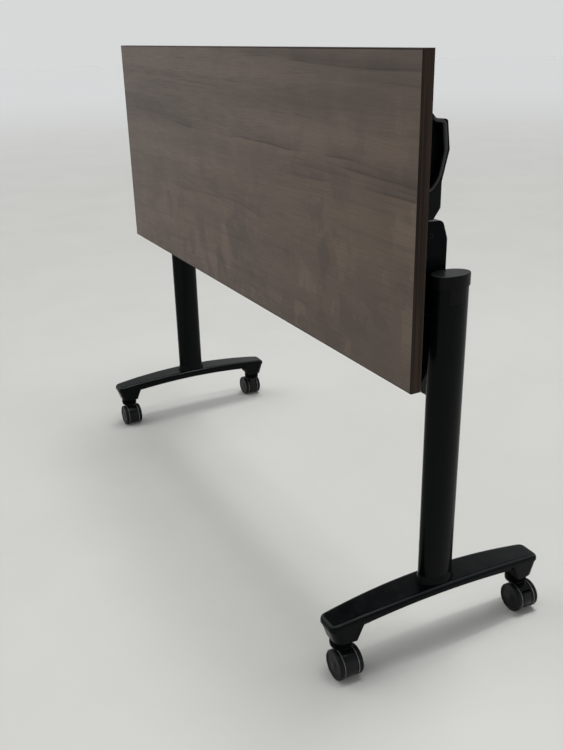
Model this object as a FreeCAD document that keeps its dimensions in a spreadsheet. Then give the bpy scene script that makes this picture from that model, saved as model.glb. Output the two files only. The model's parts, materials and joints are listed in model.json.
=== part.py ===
import FreeCAD, Part
import math
import os
import re
import Sketcher

# A flip-top nesting table in millimetres, drawn with its top folded upright.
# X runs along the table, -Y is the side that the folded working face looks to, Z is up from the floor.
# The right-hand pieces (+X) are modelled and the left-hand ones are mirrored from them.

SIZES = {
    # worktop
    "top_length": 1200, "top_depth": 450, "top_thickness": 18, "table_height": 720,
    "band_thickness": 2, "face_thickness": 0.8, "band_round": 1.2,
    # tilting pivot, below the working face and in front of the posts
    "pivot_drop": 55, "pivot_lead": 47,
    # posts and caps
    "post_inset": 54, "post_depth": 62, "post_width": 40, "post_wall": 2.5, "post_drop": 85.5,
    "cap_thickness": 18.5, "cap_overhang": 1.5, "cap_plug": 3, "cap_round": 1.8,
    "tongue_width": 28, "tongue_height": 25, "tongue_gap": 0.4,
    # feet
    "foot_length": 418, "foot_width": 43, "foot_crest": 117.5, "foot_fall": 14, "foot_depth": 19.5,
    "foot_bow": 8, "foot_overhang": 1.2, "foot_flush": 0.2, "foot_bite": 0.6,
    "foot_lip": 10, "foot_round": 7.5, "foot_seat": 0.5, "seat_gap": 0.3,
    "tip_inset": 0.9, "tip_round": 12,
    "block_bottom": 68.5, "block_length": 56.5, "block_nose": 8, "block_heel": 11,
    "nose_round_low": 16, "nose_round_high": 11.5, "heel_round": 3,
    # casters
    "stem_inset": 29, "stem_lift": 6, "stem_radius": 5.5,
    "socket_radius": 8, "socket_depth": 24, "socket_gap": 0.06,
    "trail": 13, "wheel_radius": 25, "wheel_width": 10, "wheel_play": 0.4, "wheel_round": 2.2,
    "dish_radius": 19, "dish_depth": 1.6, "hood_width": 22, "hood_inset": 1.2, "hood_lift": 5,
    "neck_radius": 18, "neck_gap": 2.2, "neck_clear": 1.5, "root_inset": 1,
    "axle_radius": 3, "axle_gap": 0.06,
    "pedal_width": 16, "pedal_gap": 1, "pedal_lead": 12, "pedal_rise": 9, "pedal_pin": 1.5, "pedal_boss": 3,
    "pedal_inset": 0.3, "pedal_back": 3.5, "pedal_top": 15, "pedal_low": 13, "pedal_room": 3,
    "pedal_swing": 4,
    # tilting hinge, counted inwards from the post
    "cover_gap": 2.5, "cover_wall": 2.5, "cheek_gap": 2, "sheet_steel": 3, "side_play": 4, "inner_play": 3,
    "neck_width": 22, "neck_half": 18, "latch_width": 16, "plate_clearance": 14,
    "cover_depth": 93.2, "cover_above": 41, "cover_below": 80, "cover_round": 9,
    "shoulder_lead": 9, "shoulder_fall": 27, "cover_seat": 0.2, "cover_edge": 2,
    "plate_wing": 34, "plate_below": 64, "cheek_round": 20, "cheek_lug": 8.5, "cheek_gap_above": 4,
    "cheek_foot": 48,
    "pin_radius": 6, "pin_gap": 0.06, "bush_wall": 2, "pin_head_radius": 10, "pin_head": 1.6,
    "slot_play": 3, "slot_lead": 18, "slot_reach": 16, "press_gap": 0.02,
    # fixed arms, counted down from the pivot
    "arm_toe": 134, "arm_heel": 233, "arm_shoulder": 66, "saddle_top": 100, "arm_back": 26, "heel_front": 4,
    "saddle_front": 18, "saddle_heel": 8, "saddle_gap": 0.15,
    "beam_drop": 160, "beam_height": 50, "beam_depth": 25, "beam_wall": 2, "beam_round": 3, "beam_offset": 4,
    "flange_thickness": 6, "flange_half": 64, "flange_width": 40, "flange_round": 5,
    "bolt_radius": 4, "bolt_gap": 0.2, "bolt_head_radius": 6.5, "bolt_head": 8, "bolt_spread": 49,
    "bolt_reach": 6,
    # stops
    "bumper_radius": 7, "bumper_drop": 36, "stop_gap": 0.3, "stop_radius": 5, "stop_fall": 30,
    # release lever
    "lever_lead": 41, "lever_width": 10, "lever_ring": 10, "shaft_radius": 5, "shaft_gap": 0.06,
    "hook_height": 7, "tooth_lead": 4.5, "tooth_width": 6, "tooth_height": 2, "tooth_gap": 0.3,
    "notch_depth": 5, "notch_width": 9,
    "grip_top": 70, "grip_low": 28, "grip_tip": 22, "grip_thickness": 12, "grip_width": 38, "stalk_width": 14,
    # under-top shelf
    "shelf_drop": 72, "shelf_top": 119, "shelf_bottom": 84, "shelf_rows": 10, "shelf_inset": 23.5,
    "wire_radius": 3, "wire_level": 50, "wire_margin": 12,
    "cross_radius": 2.5, "cross_count": 5, "cross_margin": 6,
    "weld_bite": 0.6, "socket_bite": 4, "socket_play": 0.1,
    "bracket_thickness": 6, "rim_height": 14, "rim_width": 10, "rim_top": 3.5, "bracket_round": 5,
    "bracket_gap": 2.5, "bracket_wing": 26,
    "bracket_depth": 88.5, "bracket_waist": 77.5, "bracket_low": 66, "bracket_heel": 16, "waist_rise": 52,
    "nose_low": 95, "nose_high": 136, "nose_slope": 5.2, "bracket_high": 171, "crown_setback": 57,
    "step_setback": 24, "step_rise": 1, "rim_low": 29, "rim_slope": 5, "rim_setback": 16,
    "rim_waist": 6.5, "rim_elbow": 60,
    "tab_low": 16, "tab_high": 146,
    # screws
    "screw_radius": 2.2, "screw_length": 14, "screw_head_radius": 4.5, "screw_head": 2.2, "screw_gap": 0.05,
    "screw_inset": 12, "shelf_screw_low": 30, "shelf_screw_high": 130,
}

doc = FreeCAD.newDocument("Table")
sheet = doc.addObject("Spreadsheet::Sheet", "Sizes")
for row, (alias, number) in enumerate(SIZES.items(), start=1):
    sheet.set("A%d" % row, alias)
    sheet.set("B%d" % row, str(number))
    sheet.setAlias("B%d" % row, alias)
doc.recompute()

# The post stands a fixed way in from the end of the top
DERIVED = {"post_reach": "(top_length / 2 - post_inset)"}
DERIVED_WORDS = re.compile(r"\b(" + "|".join(DERIVED) + r")\b")
WORDS = re.compile(r"\b(" + "|".join(SIZES) + r")\b")


def formula(text):
    """Gives an expression with each size's name pointed at its cell of the sheet."""
    spelled = DERIVED_WORDS.sub(lambda found: DERIVED[found.group(1)], str(text))
    return WORDS.sub(r"Sizes.\1", spelled)


def bind(thing, prop, text):
    thing.setExpression(prop, formula(text))


def size(alias):
    return float(sheet.get(alias))


# Shared places, as expressions of the sheet
PIVOT_Y = "(-pivot_lead)"
PIVOT_Z = "(table_height - pivot_drop)"
FACE_Y = "(-pivot_lead - pivot_drop)"
BACK_Y = "(-pivot_lead - pivot_drop + top_thickness)"
PLATE_Y = "(-pivot_lead - pivot_drop + top_thickness + sheet_steel)"
MIDDLE_Z = "(table_height - pivot_drop + pivot_lead)"
POST_TOP = "(table_height - post_drop - cap_thickness)"
SEAT_Z = "(foot_crest - foot_seat)"
POST_INNER = "(post_reach - post_width / 2)"
COVER_OUT = f"({POST_INNER} - cover_gap)"
CHEEK_OUT = f"({COVER_OUT} - cover_wall - cheek_gap)"
ARM_OUT = f"({CHEEK_OUT} - sheet_steel - side_play)"
ARM_IN = f"({ARM_OUT} - neck_width)"
HUB_IN = f"({ARM_IN} - latch_width)"
CHEEK_IN = f"({HUB_IN} - inner_play)"
COVER_IN = f"({CHEEK_IN} - sheet_steel - cheek_gap - cover_wall)"
HUB_RADIUS = "(pivot_drop - top_thickness - sheet_steel - plate_clearance)"
LEVER_IN = f"({HUB_IN} + (latch_width - lever_width) / 2 - 1)"
SHAFT_Y = "(lever_lead - pivot_lead)"
SHAFT_Z = f"({PIVOT_Z} + {HUB_RADIUS})"
SHELF_Y = f"({FACE_Y} + shelf_drop)"
STEM_Y = "(foot_length / 2 - stem_inset)"
BOLT_HIGH = f"({PIVOT_Z} - beam_drop + bolt_spread)"
BOLT_LOW = f"({PIVOT_Z} - beam_drop - bolt_spread)"

ALONG_X = FreeCAD.Rotation(FreeCAD.Vector(0, 1, 0), 90)
ALONG_Y = FreeCAD.Rotation(FreeCAD.Vector(1, 0, 0), -90)
UPRIGHT = FreeCAD.Rotation()
TURNED = FreeCAD.Rotation(FreeCAD.Vector(0, 0, 1), 90)
NODES = []


def node(thing, label):
    """Marks an object as one of the sub-parts that are written out."""
    thing.Label = label
    NODES.append(thing)
    return thing


def place(thing, x, y, z, rotation=UPRIGHT):
    thing.Placement = FreeCAD.Placement(FreeCAD.Vector(), rotation)
    for axis, text in zip("xyz", (x, y, z)):
        bind(thing, "Placement.Base." + axis, text)
    return thing


def box(name, x, y, z, length, width, height):
    """A box with one corner at x, y, z."""
    block = doc.addObject("Part::Box", name)
    bind(block, "Length", length)
    bind(block, "Width", width)
    bind(block, "Height", height)
    return place(block, x, y, z)


def rod(name, x, y, z, radius, length, rotation=UPRIGHT):
    """A cylinder that starts at x, y, z and runs along the turned Z axis."""
    bar = doc.addObject("Part::Cylinder", name)
    bind(bar, "Radius", radius)
    bind(bar, "Height", length)
    return place(bar, x, y, z, rotation)


def oval(name, x, y, z, depth, width, height):
    """An upright bar of oval section, its long axis along Y."""
    ring = doc.addObject("Part::Ellipse", name + "_ring")
    bind(ring, "MajorRadius", f"({depth}) / 2")
    bind(ring, "MinorRadius", f"({width}) / 2")
    place(ring, x, y, z, TURNED)
    bar = doc.addObject("Part::Extrusion", name)
    bar.Base = ring
    bar.Dir = FreeCAD.Vector(0, 0, 1)
    bar.DirMode = "Custom"
    bar.Solid = True
    bind(bar, "LengthFwd", height)
    return bar


def cut(name, base, tool):
    result = doc.addObject("Part::Cut", name)
    result.Base = base
    result.Tool = tool
    return result


def common(name, base, tool):
    result = doc.addObject("Part::Common", name)
    result.Base = base
    result.Tool = tool
    return result


def fuse(name, pieces):
    result = doc.addObject("Part::MultiFuse", name)
    result.Shapes = pieces
    result.Refine = True
    return result


def group(name, pieces):
    result = doc.addObject("Part::Compound", name)
    result.Links = pieces
    return result


def mirror(name, source, normal=FreeCAD.Vector(1, 0, 0)):
    result = doc.addObject("Part::Mirroring", name)
    result.Source = source
    result.Normal = normal
    return result


def pair(name, right):
    """The right-hand pieces and their mirror images in one group."""
    return group(name, [right, mirror(name + "_mirrored", right)])


def both_sides(stem, right):
    """Writes a right-hand sub-part and its left-hand mirror image."""
    node(right, stem + "_right")
    node(mirror(stem + "_left", right), stem + "_left")
    return right


def plane_of(body, role):
    return next(item for item in body.Origin.OriginFeatures if item.Role == role)


def new_sketch(body, name, role, lift):
    sketch = body.newObject("Sketcher::SketchObject", name)
    sketch.AttachmentSupport = [(plane_of(body, role), "")]
    sketch.MapMode = "FlatFace"
    bind(sketch, "AttachmentOffset.Base.z", lift)
    return sketch


def add_outline(sketch, corners):
    """Adds a closed run of straight sides; each corner is a pair of expressions."""
    first = sketch.GeometryCount
    count = len(corners)
    ring = []
    for step in range(count):
        turn = 2 * math.pi * step / count
        ring.append(FreeCAD.Vector(100 * math.cos(turn + 0.3), 100 * math.sin(turn + 0.3), 0))
    for step in range(count):
        sketch.addGeometry(Part.LineSegment(ring[step], ring[(step + 1) % count]), False)
    for step in range(count):
        following = first + (step + 1) % count
        sketch.addConstraint(Sketcher.Constraint("Coincident", first + step, 2, following, 1))
    for step, (across, up) in enumerate(corners):
        for kind, start, text in (("DistanceX", ring[step].x, across), ("DistanceY", ring[step].y, up)):
            index = sketch.addConstraint(Sketcher.Constraint(kind, -1, 1, first + step, 1, start))
            bind(sketch, "Constraints[%d]" % index, text)


def add_circle(sketch, across, up, radius):
    centre = FreeCAD.Vector(10, 10, 0)
    index = sketch.addGeometry(Part.Circle(centre, FreeCAD.Vector(0, 0, 1), 5), False)
    for kind, start, text in (("DistanceX", 10, across), ("DistanceY", 10, up)):
        number = sketch.addConstraint(Sketcher.Constraint(kind, -1, 1, index, 3, start))
        bind(sketch, "Constraints[%d]" % number, text)
    number = sketch.addConstraint(Sketcher.Constraint("Radius", index, 5))
    bind(sketch, "Constraints[%d]" % number, radius)


def new_body(name):
    return doc.addObject("PartDesign::Body", name)


def pad(body, sketch, name, length):
    feature = body.newObject("PartDesign::Pad", name)
    feature.Profile = sketch
    bind(feature, "Length", length)
    sketch.Visibility = False
    return feature


def plate(body, name, role, lift, corners, length):
    """Pads an outline of straight sides from a lifted origin plane."""
    sketch = new_sketch(body, name + "_outline", role, lift)
    add_outline(sketch, corners)
    return pad(body, sketch, name, length)


def disc(body, name, role, lift, across, up, radius, length):
    sketch = new_sketch(body, name + "_circle", role, lift)
    add_circle(sketch, across, up, radius)
    return pad(body, sketch, name, length)


def bore(body, name, role, lift, holes):
    """Cuts round holes, each given as across, up and radius, right through the body both ways."""
    sketch = new_sketch(body, name + "_circles", role, lift)
    for across, up, radius in holes:
        add_circle(sketch, across, up, radius)
    feature = body.newObject("PartDesign::Pocket", name)
    feature.Profile = sketch
    feature.Type = "ThroughAll"
    feature.Midplane = True
    sketch.Visibility = False
    return feature


def round_edges(body, name, radius, wanted):
    """Fillets the edges of the body's tip for which wanted(edge) is true."""
    doc.recompute()
    base = body.Tip
    names = []
    for number, edge in enumerate(base.Shape.Edges, start=1):
        if wanted(edge):
            names.append("Edge%d" % number)
    feature = body.newObject("PartDesign::Fillet", name)
    feature.Base = (base, names)
    bind(feature, "Radius", radius)
    return feature


def is_upper(edge, solid):
    """True for an edge with none of the solid above its middle."""
    point = edge.valueAt((edge.FirstParameter + edge.LastParameter) / 2)
    probe = Part.makeLine(point + FreeCAD.Vector(0, 0, 0.2), point + FreeCAD.Vector(0, 0, 100))
    return probe.distToShape(solid)[0] > 0.1


def runs_along(edge, axis):
    """True for a straight edge along the axis of that name."""
    if not isinstance(edge.Curve, (Part.Line, Part.LineSegment)):
        return False
    return abs(getattr(edge.tangentAt(edge.FirstParameter), axis)) > 0.999


# Screws and the holes they need, given as places on the board's back
BRACKET_SCREWS = []
for screw_x in (f"({COVER_IN} - plate_wing / 2)", f"({ARM_IN} + screw_inset / 3)"):
    for screw_z in (f"({PIVOT_Z} - plate_below + screw_inset)", f"({PIVOT_Z} + cover_above - screw_inset)"):
        BRACKET_SCREWS.append((screw_x, screw_z))
BRACKET_IN = f"({COVER_OUT} - rim_height - bracket_thickness)"
BRACKET_FOOT = f"({PIVOT_Z} + cover_above + bracket_gap)"
SHELF_HALF = f"({COVER_IN} - shelf_inset)"
SHELF_SCREWS = []
for screw_rise in ("shelf_screw_low", "shelf_screw_high"):
    SHELF_SCREWS.append((f"({BRACKET_IN} - bracket_wing / 2)", f"({BRACKET_FOOT} + {screw_rise})"))


def screws(name, places):
    """Pan-head wood screws that clamp a steel plate to the board's back."""
    made = []
    for number, (x, z) in enumerate(places):
        head = rod("%s_head%d" % (name, number), x, PLATE_Y, z, "screw_head_radius", "screw_head", ALONG_Y)
        tail = rod("%s_tail%d" % (name, number), x, f"{PLATE_Y} - screw_length", z, "screw_radius",
                   "screw_length + screw_head / 2", ALONG_Y)
        made.append(fuse("%s_%d" % (name, number), [head, tail]))
    return pair(name, group(name + "_right", made))


def screw_holes(name, places):
    made = []
    for number, (x, z) in enumerate(places):
        made.append(rod("%s_%d" % (name, number), x, f"{PLATE_Y} - screw_length - 1", z,
                        "screw_radius + screw_gap", "screw_length + 4", ALONG_Y))
    return group(name, made)


# Worktop
def worktop():
    all_holes = pair("board_holes", screw_holes("board_hole", BRACKET_SCREWS + SHELF_SCREWS))
    inner_length = "top_length - 2 * band_thickness"
    inner_depth = "top_depth - 2 * band_thickness"
    left = "-top_length / 2 + band_thickness"
    low = f"{MIDDLE_Z} - top_depth / 2 + band_thickness"
    core = box("core_blank", left, f"{FACE_Y} + face_thickness", low, inner_length,
               "top_thickness - 2 * face_thickness", inner_depth)
    face = box("surface_laminate", left, FACE_Y, low, inner_length, "face_thickness", inner_depth)
    back = box("backer_blank", left, f"{BACK_Y} - face_thickness", low, inner_length, "face_thickness",
               inner_depth)
    node(cut("board_core", core, all_holes), "board_core")
    node(face, "surface_laminate")
    node(cut("underside_backer", back, all_holes), "underside_backer")
    band = new_body("edge_band")
    sketch = new_sketch(band, "band_outline", "XZ_Plane", f"-{BACK_Y}")
    for trim in ("0", "band_thickness"):
        side = f"top_length / 2 - {trim}"
        high = f"{MIDDLE_Z} + top_depth / 2 - {trim}"
        base = f"{MIDDLE_Z} - top_depth / 2 + {trim}"
        add_outline(sketch, [(f"-({side})", base), (side, base), (side, high), (f"-({side})", high)])
    pad(band, sketch, "band_ring", "top_thickness")
    reach = size("top_length") / 2
    middle = size("table_height") - size("pivot_drop") + size("pivot_lead")
    half = size("top_depth") / 2

    def on_outside(edge):
        centre = edge.CenterOfMass
        outer = abs(abs(centre.x) - reach) < 0.01 or abs(abs(centre.z - middle) - half) < 0.01
        return outer and not runs_along(edge, "y")

    round_edges(band, "band_rounding", "band_round", on_outside)
    node(band, "edge_band")


# Posts and their caps
def posts():
    tall = f"({POST_TOP} - {SEAT_Z})"
    outer = oval("post_outside", "post_reach", "0", SEAT_Z, "post_depth", "post_width", tall)
    inner = oval("post_inside", "post_reach", "0", f"{SEAT_Z} - 1", "post_depth - 2 * post_wall",
                 "post_width - 2 * post_wall", f"{tall} + 2")
    tube = cut("post_tube", outer, inner)
    window = box("post_window", "post_reach", "-tongue_width / 2 - tongue_gap",
                 f"{POST_TOP} - tongue_height - tongue_gap", "post_width",
                 "tongue_width + 2 * tongue_gap", "tongue_height + 2 * tongue_gap")
    holes = []
    for name, height in (("post_hole_high", BOLT_HIGH), ("post_hole_low", BOLT_LOW)):
        holes.append(rod(name, f"{POST_INNER} - 10", "beam_offset", height, "bolt_radius + bolt_gap",
                         "10 + post_width / 2", ALONG_X))
    both_sides("post", cut("post_right", tube, group("post_cuts", [window] + holes)))

    brim = oval("cap_brim", "post_reach", "0", POST_TOP, "post_depth + 2 * cap_overhang",
                "post_width + 2 * cap_overhang", "cap_thickness")
    rounded = doc.addObject("Part::Fillet", "cap_rounded")
    doc.recompute()
    top_edges = []
    for number, edge in enumerate(brim.Shape.Edges, start=1):
        if edge.BoundBox.ZMin > brim.Shape.BoundBox.ZMax - 0.01:
            top_edges.append((number, size("cap_round"), size("cap_round")))
    rounded.Base = brim
    rounded.Edges = top_edges
    plug_wide = "post_width - 2 * post_wall - 2 * tongue_gap"
    plug_long = "post_depth - 2 * post_wall - 2 * tongue_gap"
    plug_low = f"{POST_TOP} - tongue_height - cap_plug"
    plug = oval("cap_plug_solid", "post_reach", "0", plug_low, plug_long, plug_wide,
                "tongue_height + cap_plug + 0.5")
    hollow = oval("cap_hollow", "post_reach", "0", f"{plug_low} - 1", f"{plug_long} - 2 * post_wall",
                  f"{plug_wide} - 2 * post_wall", "tongue_height + cap_plug")
    skirt = cut("cap_skirt", plug, hollow)
    tongue_block = box("tongue_block", "post_reach", "-tongue_width / 2",
                       f"{POST_TOP} - tongue_height", "post_width", "tongue_width", "tongue_height + 1")
    tongue_limit = oval("tongue_limit", "post_reach", "0", f"{POST_TOP} - tongue_height - 1",
                        "post_depth", "post_width", "tongue_height + 2")
    tongue_core = oval("tongue_core", "post_reach", "0", f"{POST_TOP} - tongue_height - 2",
                       f"{plug_long} - post_wall", f"{plug_wide} - post_wall", "tongue_height + 4")
    tongue = cut("cap_tongue", common("tongue_skin", tongue_block, tongue_limit), tongue_core)
    both_sides("post_cap", fuse("post_cap_right", [rounded, skirt, tongue]))


# Feet: an arched beam, a bowed lip along its top and a deep block at each end for the caster
def feet():
    chord = "(foot_length / 2)"
    inner_chord = "(foot_length / 2 - tip_inset)"
    arch = f"(({chord} * {chord} + foot_fall * foot_fall) / (2 * foot_fall))"
    start = "post_reach - foot_width"
    span = "2 * foot_width"
    over = rod("foot_over", start, "0", f"foot_crest - {arch}", arch, span, ALONG_X)
    under = rod("foot_under", start, "0", f"foot_crest - {arch}", f"{arch} - foot_depth", span, ALONG_X)
    middle = rod("foot_middle", start, "0", f"foot_crest - {arch}", f"{arch} - foot_lip / 2", span, ALONG_X)
    below = rod("foot_below", start, "0", f"foot_crest - {arch}", f"{arch} - foot_lip", span, ALONG_X)
    block_top = rod("foot_block_top", start, "0", f"foot_crest - {arch}",
                    f"{arch} - foot_lip + foot_bite", span, ALONG_X)
    beam_end = f"({inner_chord} - block_length / 2)"
    blank = box("foot_blank", "post_reach - foot_width / 2", f"-{beam_end}", "block_bottom", "foot_width",
                f"2 * {beam_end}", "foot_crest")
    beam = cut("foot_beam", common("foot_arched", blank, middle), under)
    bow = f"(({chord} * {chord} + foot_bow * foot_bow) / (2 * foot_bow))"
    widest = "(foot_width / 2 + foot_overhang + foot_bow)"
    lens_out = rod("foot_bow_out", f"post_reach + {widest} - {bow}", "0", "foot_crest - 60", bow, "80")
    lens_in = rod("foot_bow_in", f"post_reach - {widest} + {bow}", "0", "foot_crest - 60", bow, "80")
    lens = common("foot_lens", lens_out, lens_in)
    wide = f"({widest} - foot_flush)"
    block_out = rod("block_bow_out", f"post_reach + {wide} - {bow}", "0", "0", bow, "foot_crest + 1")
    block_in = rod("block_bow_in", f"post_reach - {wide} + {bow}", "0", "0", bow, "foot_crest + 1")
    block_lens = common("block_lens", block_out, block_in)
    strip = box("foot_strip", start, f"-{chord}", "foot_crest - 60", span, "foot_length", "80")
    lip = common("foot_lip_shape", common("foot_lens_trimmed", lens, strip), cut("foot_shell", over, below))
    doc.recompute()
    top_round = size("foot_round")
    corner_round = size("tip_round")
    lip_edges = []
    for number, edge in enumerate(lip.Shape.Edges, start=1):
        if runs_along(edge, "z"):
            lip_edges.append((number, corner_round, corner_round))
        elif is_upper(edge, lip.Shape):
            lip_edges.append((number, top_round, top_round))
    rounded = doc.addObject("Part::Fillet", "foot_lip_rounded")
    rounded.Base = lip
    rounded.Edges = lip_edges
    # the end faces slope straight on from the block's bottom to the crest
    growth = "((foot_crest - block_bottom) / (foot_crest - foot_fall - foot_lip - block_bottom))"
    blocks = []
    for name, facing in (("front", -1), ("rear", 1)):
        block = new_body("foot_block_" + name)
        nose = f"({inner_chord} - block_nose)"
        heel = f"({inner_chord} - block_length + block_heel)"
        corners = [
            (f"{facing} * {nose}", "block_bottom"),
            (f"{facing} * {heel}", "block_bottom"),
            (f"{facing} * ({heel} - block_heel * {growth})", "foot_crest"),
            (f"{facing} * ({nose} + block_nose * {growth})", "foot_crest"),
        ]
        plate(block, name + "_block", "YZ_Plane", start, corners, span)
        bowed = common("foot_block_%s_bowed" % name, block, block_lens)
        doc.recompute()
        middle_y = facing * (size("foot_length") / 2 - size("block_length") / 2)
        corner_edges = []
        for number, edge in enumerate(bowed.Shape.Edges, start=1):
            if edge.BoundBox.ZLength < 1:
                continue
            if facing * (edge.CenterOfMass.y - middle_y) < 0:
                corner_edges.append((number, size("heel_round"), size("heel_round")))
            elif edge.valueAt(edge.FirstParameter).z < edge.valueAt(edge.LastParameter).z:
                corner_edges.append((number, size("nose_round_low"), size("nose_round_high")))
            else:
                corner_edges.append((number, size("nose_round_high"), size("nose_round_low")))
        rounded_block = doc.addObject("Part::Fillet", "foot_block_%s_rounded" % name)
        rounded_block.Base = bowed
        rounded_block.Edges = corner_edges
        blocks.append(common("foot_block_%s_under_lip" % name, rounded_block, block_top))
    seat = oval("foot_seat_cut", "post_reach", "0", SEAT_Z, "post_depth + 2 * seat_gap",
                "post_width + 2 * seat_gap", "20")
    solid = cut("foot_seated", fuse("foot_whole", [beam, rounded] + blocks), seat)
    sockets = []
    for facing in (-1, 1):
        name = "socket_hole_front" if facing < 0 else "socket_hole_rear"
        sockets.append(rod(name, "post_reach", f"{facing} * {STEM_Y}", "block_bottom - 1", "socket_radius",
                           "socket_depth + 1"))
    both_sides("foot", cut("foot_right", solid, group("socket_holes", sockets)))
    sleeves = []
    for facing in (-1, 1):
        side = "front" if facing < 0 else "rear"
        outer = rod("sleeve_out_" + side, "post_reach", f"{facing} * {STEM_Y}", "block_bottom",
                    "socket_radius - press_gap", "socket_depth")
        inner = rod("sleeve_in_" + side, "post_reach", f"{facing} * {STEM_Y}", "block_bottom - 1",
                    "stem_radius + socket_gap", "socket_depth + 2")
        sleeves.append(cut("sleeve_" + side, outer, inner))
    node(pair("caster_sockets", group("sleeves", sleeves)), "caster_sockets")


# Fixed hinge arms, the beam between them and the bolts that hold both to the posts
def arms():
    arm = new_body("arm_casting")
    front = f"{PIVOT_Y} - neck_half"
    back = f"{PIVOT_Y} + neck_half"
    web = [
        (front, PIVOT_Z),
        (front, f"{PIVOT_Z} - arm_toe"),
        ("-heel_front", f"{PIVOT_Z} - arm_heel"),
        ("arm_back", f"{PIVOT_Z} - arm_heel"),
        ("arm_back", f"{PIVOT_Z} - saddle_top"),
        (back, f"{PIVOT_Z} - arm_shoulder"),
        (back, PIVOT_Z),
    ]
    plate(arm, "arm_web", "YZ_Plane", ARM_IN, web, "neck_width")
    disc(arm, "arm_hub", "YZ_Plane", HUB_IN, PIVOT_Y, PIVOT_Z, HUB_RADIUS, "neck_width + latch_width")
    saddle = [
        ("-saddle_front", f"{PIVOT_Z} - arm_heel + saddle_heel"),
        ("arm_back", f"{PIVOT_Z} - arm_heel + saddle_heel"),
        ("arm_back", f"{PIVOT_Z} - saddle_top"),
        ("-saddle_front", f"{PIVOT_Z} - saddle_top"),
    ]
    plate(arm, "arm_saddle", "YZ_Plane", f"{ARM_OUT} - 1", saddle, f"post_reach - ({ARM_OUT}) + 1")
    bore(arm, "arm_bores", "YZ_Plane", ARM_IN, [
        (PIVOT_Y, PIVOT_Z, "pin_radius + pin_gap + bush_wall"),
        ("beam_offset", BOLT_HIGH, "bolt_radius + bolt_gap"),
        ("beam_offset", BOLT_LOW, "bolt_radius + bolt_gap"),
    ])
    clear = oval("arm_post_clear", "post_reach", "0", f"{PIVOT_Z} - arm_heel - 20",
                 "post_depth + 2 * saddle_gap", "post_width + 2 * saddle_gap", "arm_heel")
    notch_up = box("notch_folded", f"{HUB_IN} - 1", f"{PIVOT_Y} + tooth_lead - notch_width / 2",
                   f"{PIVOT_Z} + {HUB_RADIUS} - notch_depth", "latch_width", "notch_width", "20")
    notch_use = box("notch_level", f"{HUB_IN} - 1", f"{PIVOT_Y} + {HUB_RADIUS} - notch_depth",
                    f"{PIVOT_Z} - tooth_lead - notch_width / 2", "latch_width", "20", "notch_width")
    both_sides("hinge_arm", cut("hinge_arm_right", arm, group("arm_cuts", [clear, notch_up, notch_use])))

    bush_out = rod("bush_out", HUB_IN, PIVOT_Y, PIVOT_Z, "pin_radius + pin_gap + bush_wall - press_gap",
                   "neck_width + latch_width", ALONG_X)
    bush_in = rod("bush_in", f"{HUB_IN} - 1", PIVOT_Y, PIVOT_Z, "pin_radius + pin_gap",
                  "neck_width + latch_width + 2", ALONG_X)
    node(pair("pivot_bushes", cut("pivot_bush", bush_out, bush_in)), "pivot_bushes")

    reach = f"({ARM_IN} - flange_thickness)"
    beam_low = f"{PIVOT_Z} - beam_drop - beam_height / 2"
    beam_near = "beam_offset - beam_depth / 2"
    tube = box("beam_outside", f"-{reach}", beam_near, beam_low, f"2 * {reach}", "beam_depth", "beam_height")
    core = box("beam_inside", f"-{reach} - 1", f"{beam_near} + beam_wall", f"{beam_low} + beam_wall",
               f"2 * {reach} + 2", "beam_depth - 2 * beam_wall", "beam_height - 2 * beam_wall")
    doc.recompute()
    rounded = doc.addObject("Part::Fillet", "beam_rounded")
    rounded.Base = tube
    long_edges = []
    for number, edge in enumerate(tube.Shape.Edges, start=1):
        if runs_along(edge, "x"):
            long_edges.append((number, size("beam_round"), size("beam_round")))
    rounded.Edges = long_edges
    node(cut("crossbeam", rounded, core), "crossbeam")

    flange = new_body("flange_plate")
    flange_low = f"{PIVOT_Z} - beam_drop - flange_half"
    flange_high = f"{PIVOT_Z} - beam_drop + flange_half"
    plate(flange, "flange_pad", "YZ_Plane", reach, [
        ("beam_offset - flange_width / 2", flange_low),
        ("beam_offset + flange_width / 2", flange_low),
        ("beam_offset + flange_width / 2", flange_high),
        ("beam_offset - flange_width / 2", flange_high),
    ], "flange_thickness")
    bore(flange, "flange_holes", "YZ_Plane", reach, [
        ("beam_offset", BOLT_HIGH, "bolt_radius + bolt_gap"),
        ("beam_offset", BOLT_LOW, "bolt_radius + bolt_gap"),
    ])
    round_edges(flange, "flange_corners", "flange_round", lambda edge: runs_along(edge, "x"))
    both_sides("beam_flange", flange)

    bolts = []
    for name, height in (("high", BOLT_HIGH), ("low", BOLT_LOW)):
        head = rod("bolt_head_" + name, f"{reach} - bolt_head", "beam_offset", height, "bolt_head_radius",
                   "bolt_head", ALONG_X)
        drive = rod("bolt_socket_" + name, f"{reach} - bolt_head - 1", "beam_offset", height,
                    "bolt_radius * 0.75", "bolt_head / 2 + 1", ALONG_X)
        shank = rod("bolt_shank_" + name, f"{reach} - 1", "beam_offset", height, "bolt_radius",
                    f"{POST_INNER} + bolt_reach - {reach} + 1", ALONG_X)
        bolts.append(fuse("bolt_" + name, [cut("bolt_cap_" + name, head, drive), shank]))
    node(pair("arm_bolts", group("bolts", bolts)), "arm_bolts")

    bumper_start = f"{PIVOT_Y} - neck_half"
    bumper = rod("stop_bumper", f"({ARM_IN} + {ARM_OUT}) / 2", f"{PLATE_Y} + stop_gap",
                 f"{PIVOT_Z} - bumper_drop", "bumper_radius",
                 f"{bumper_start} - {PLATE_Y} - stop_gap", ALONG_Y)
    node(pair("stop_bumpers", bumper), "stop_bumpers")


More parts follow.
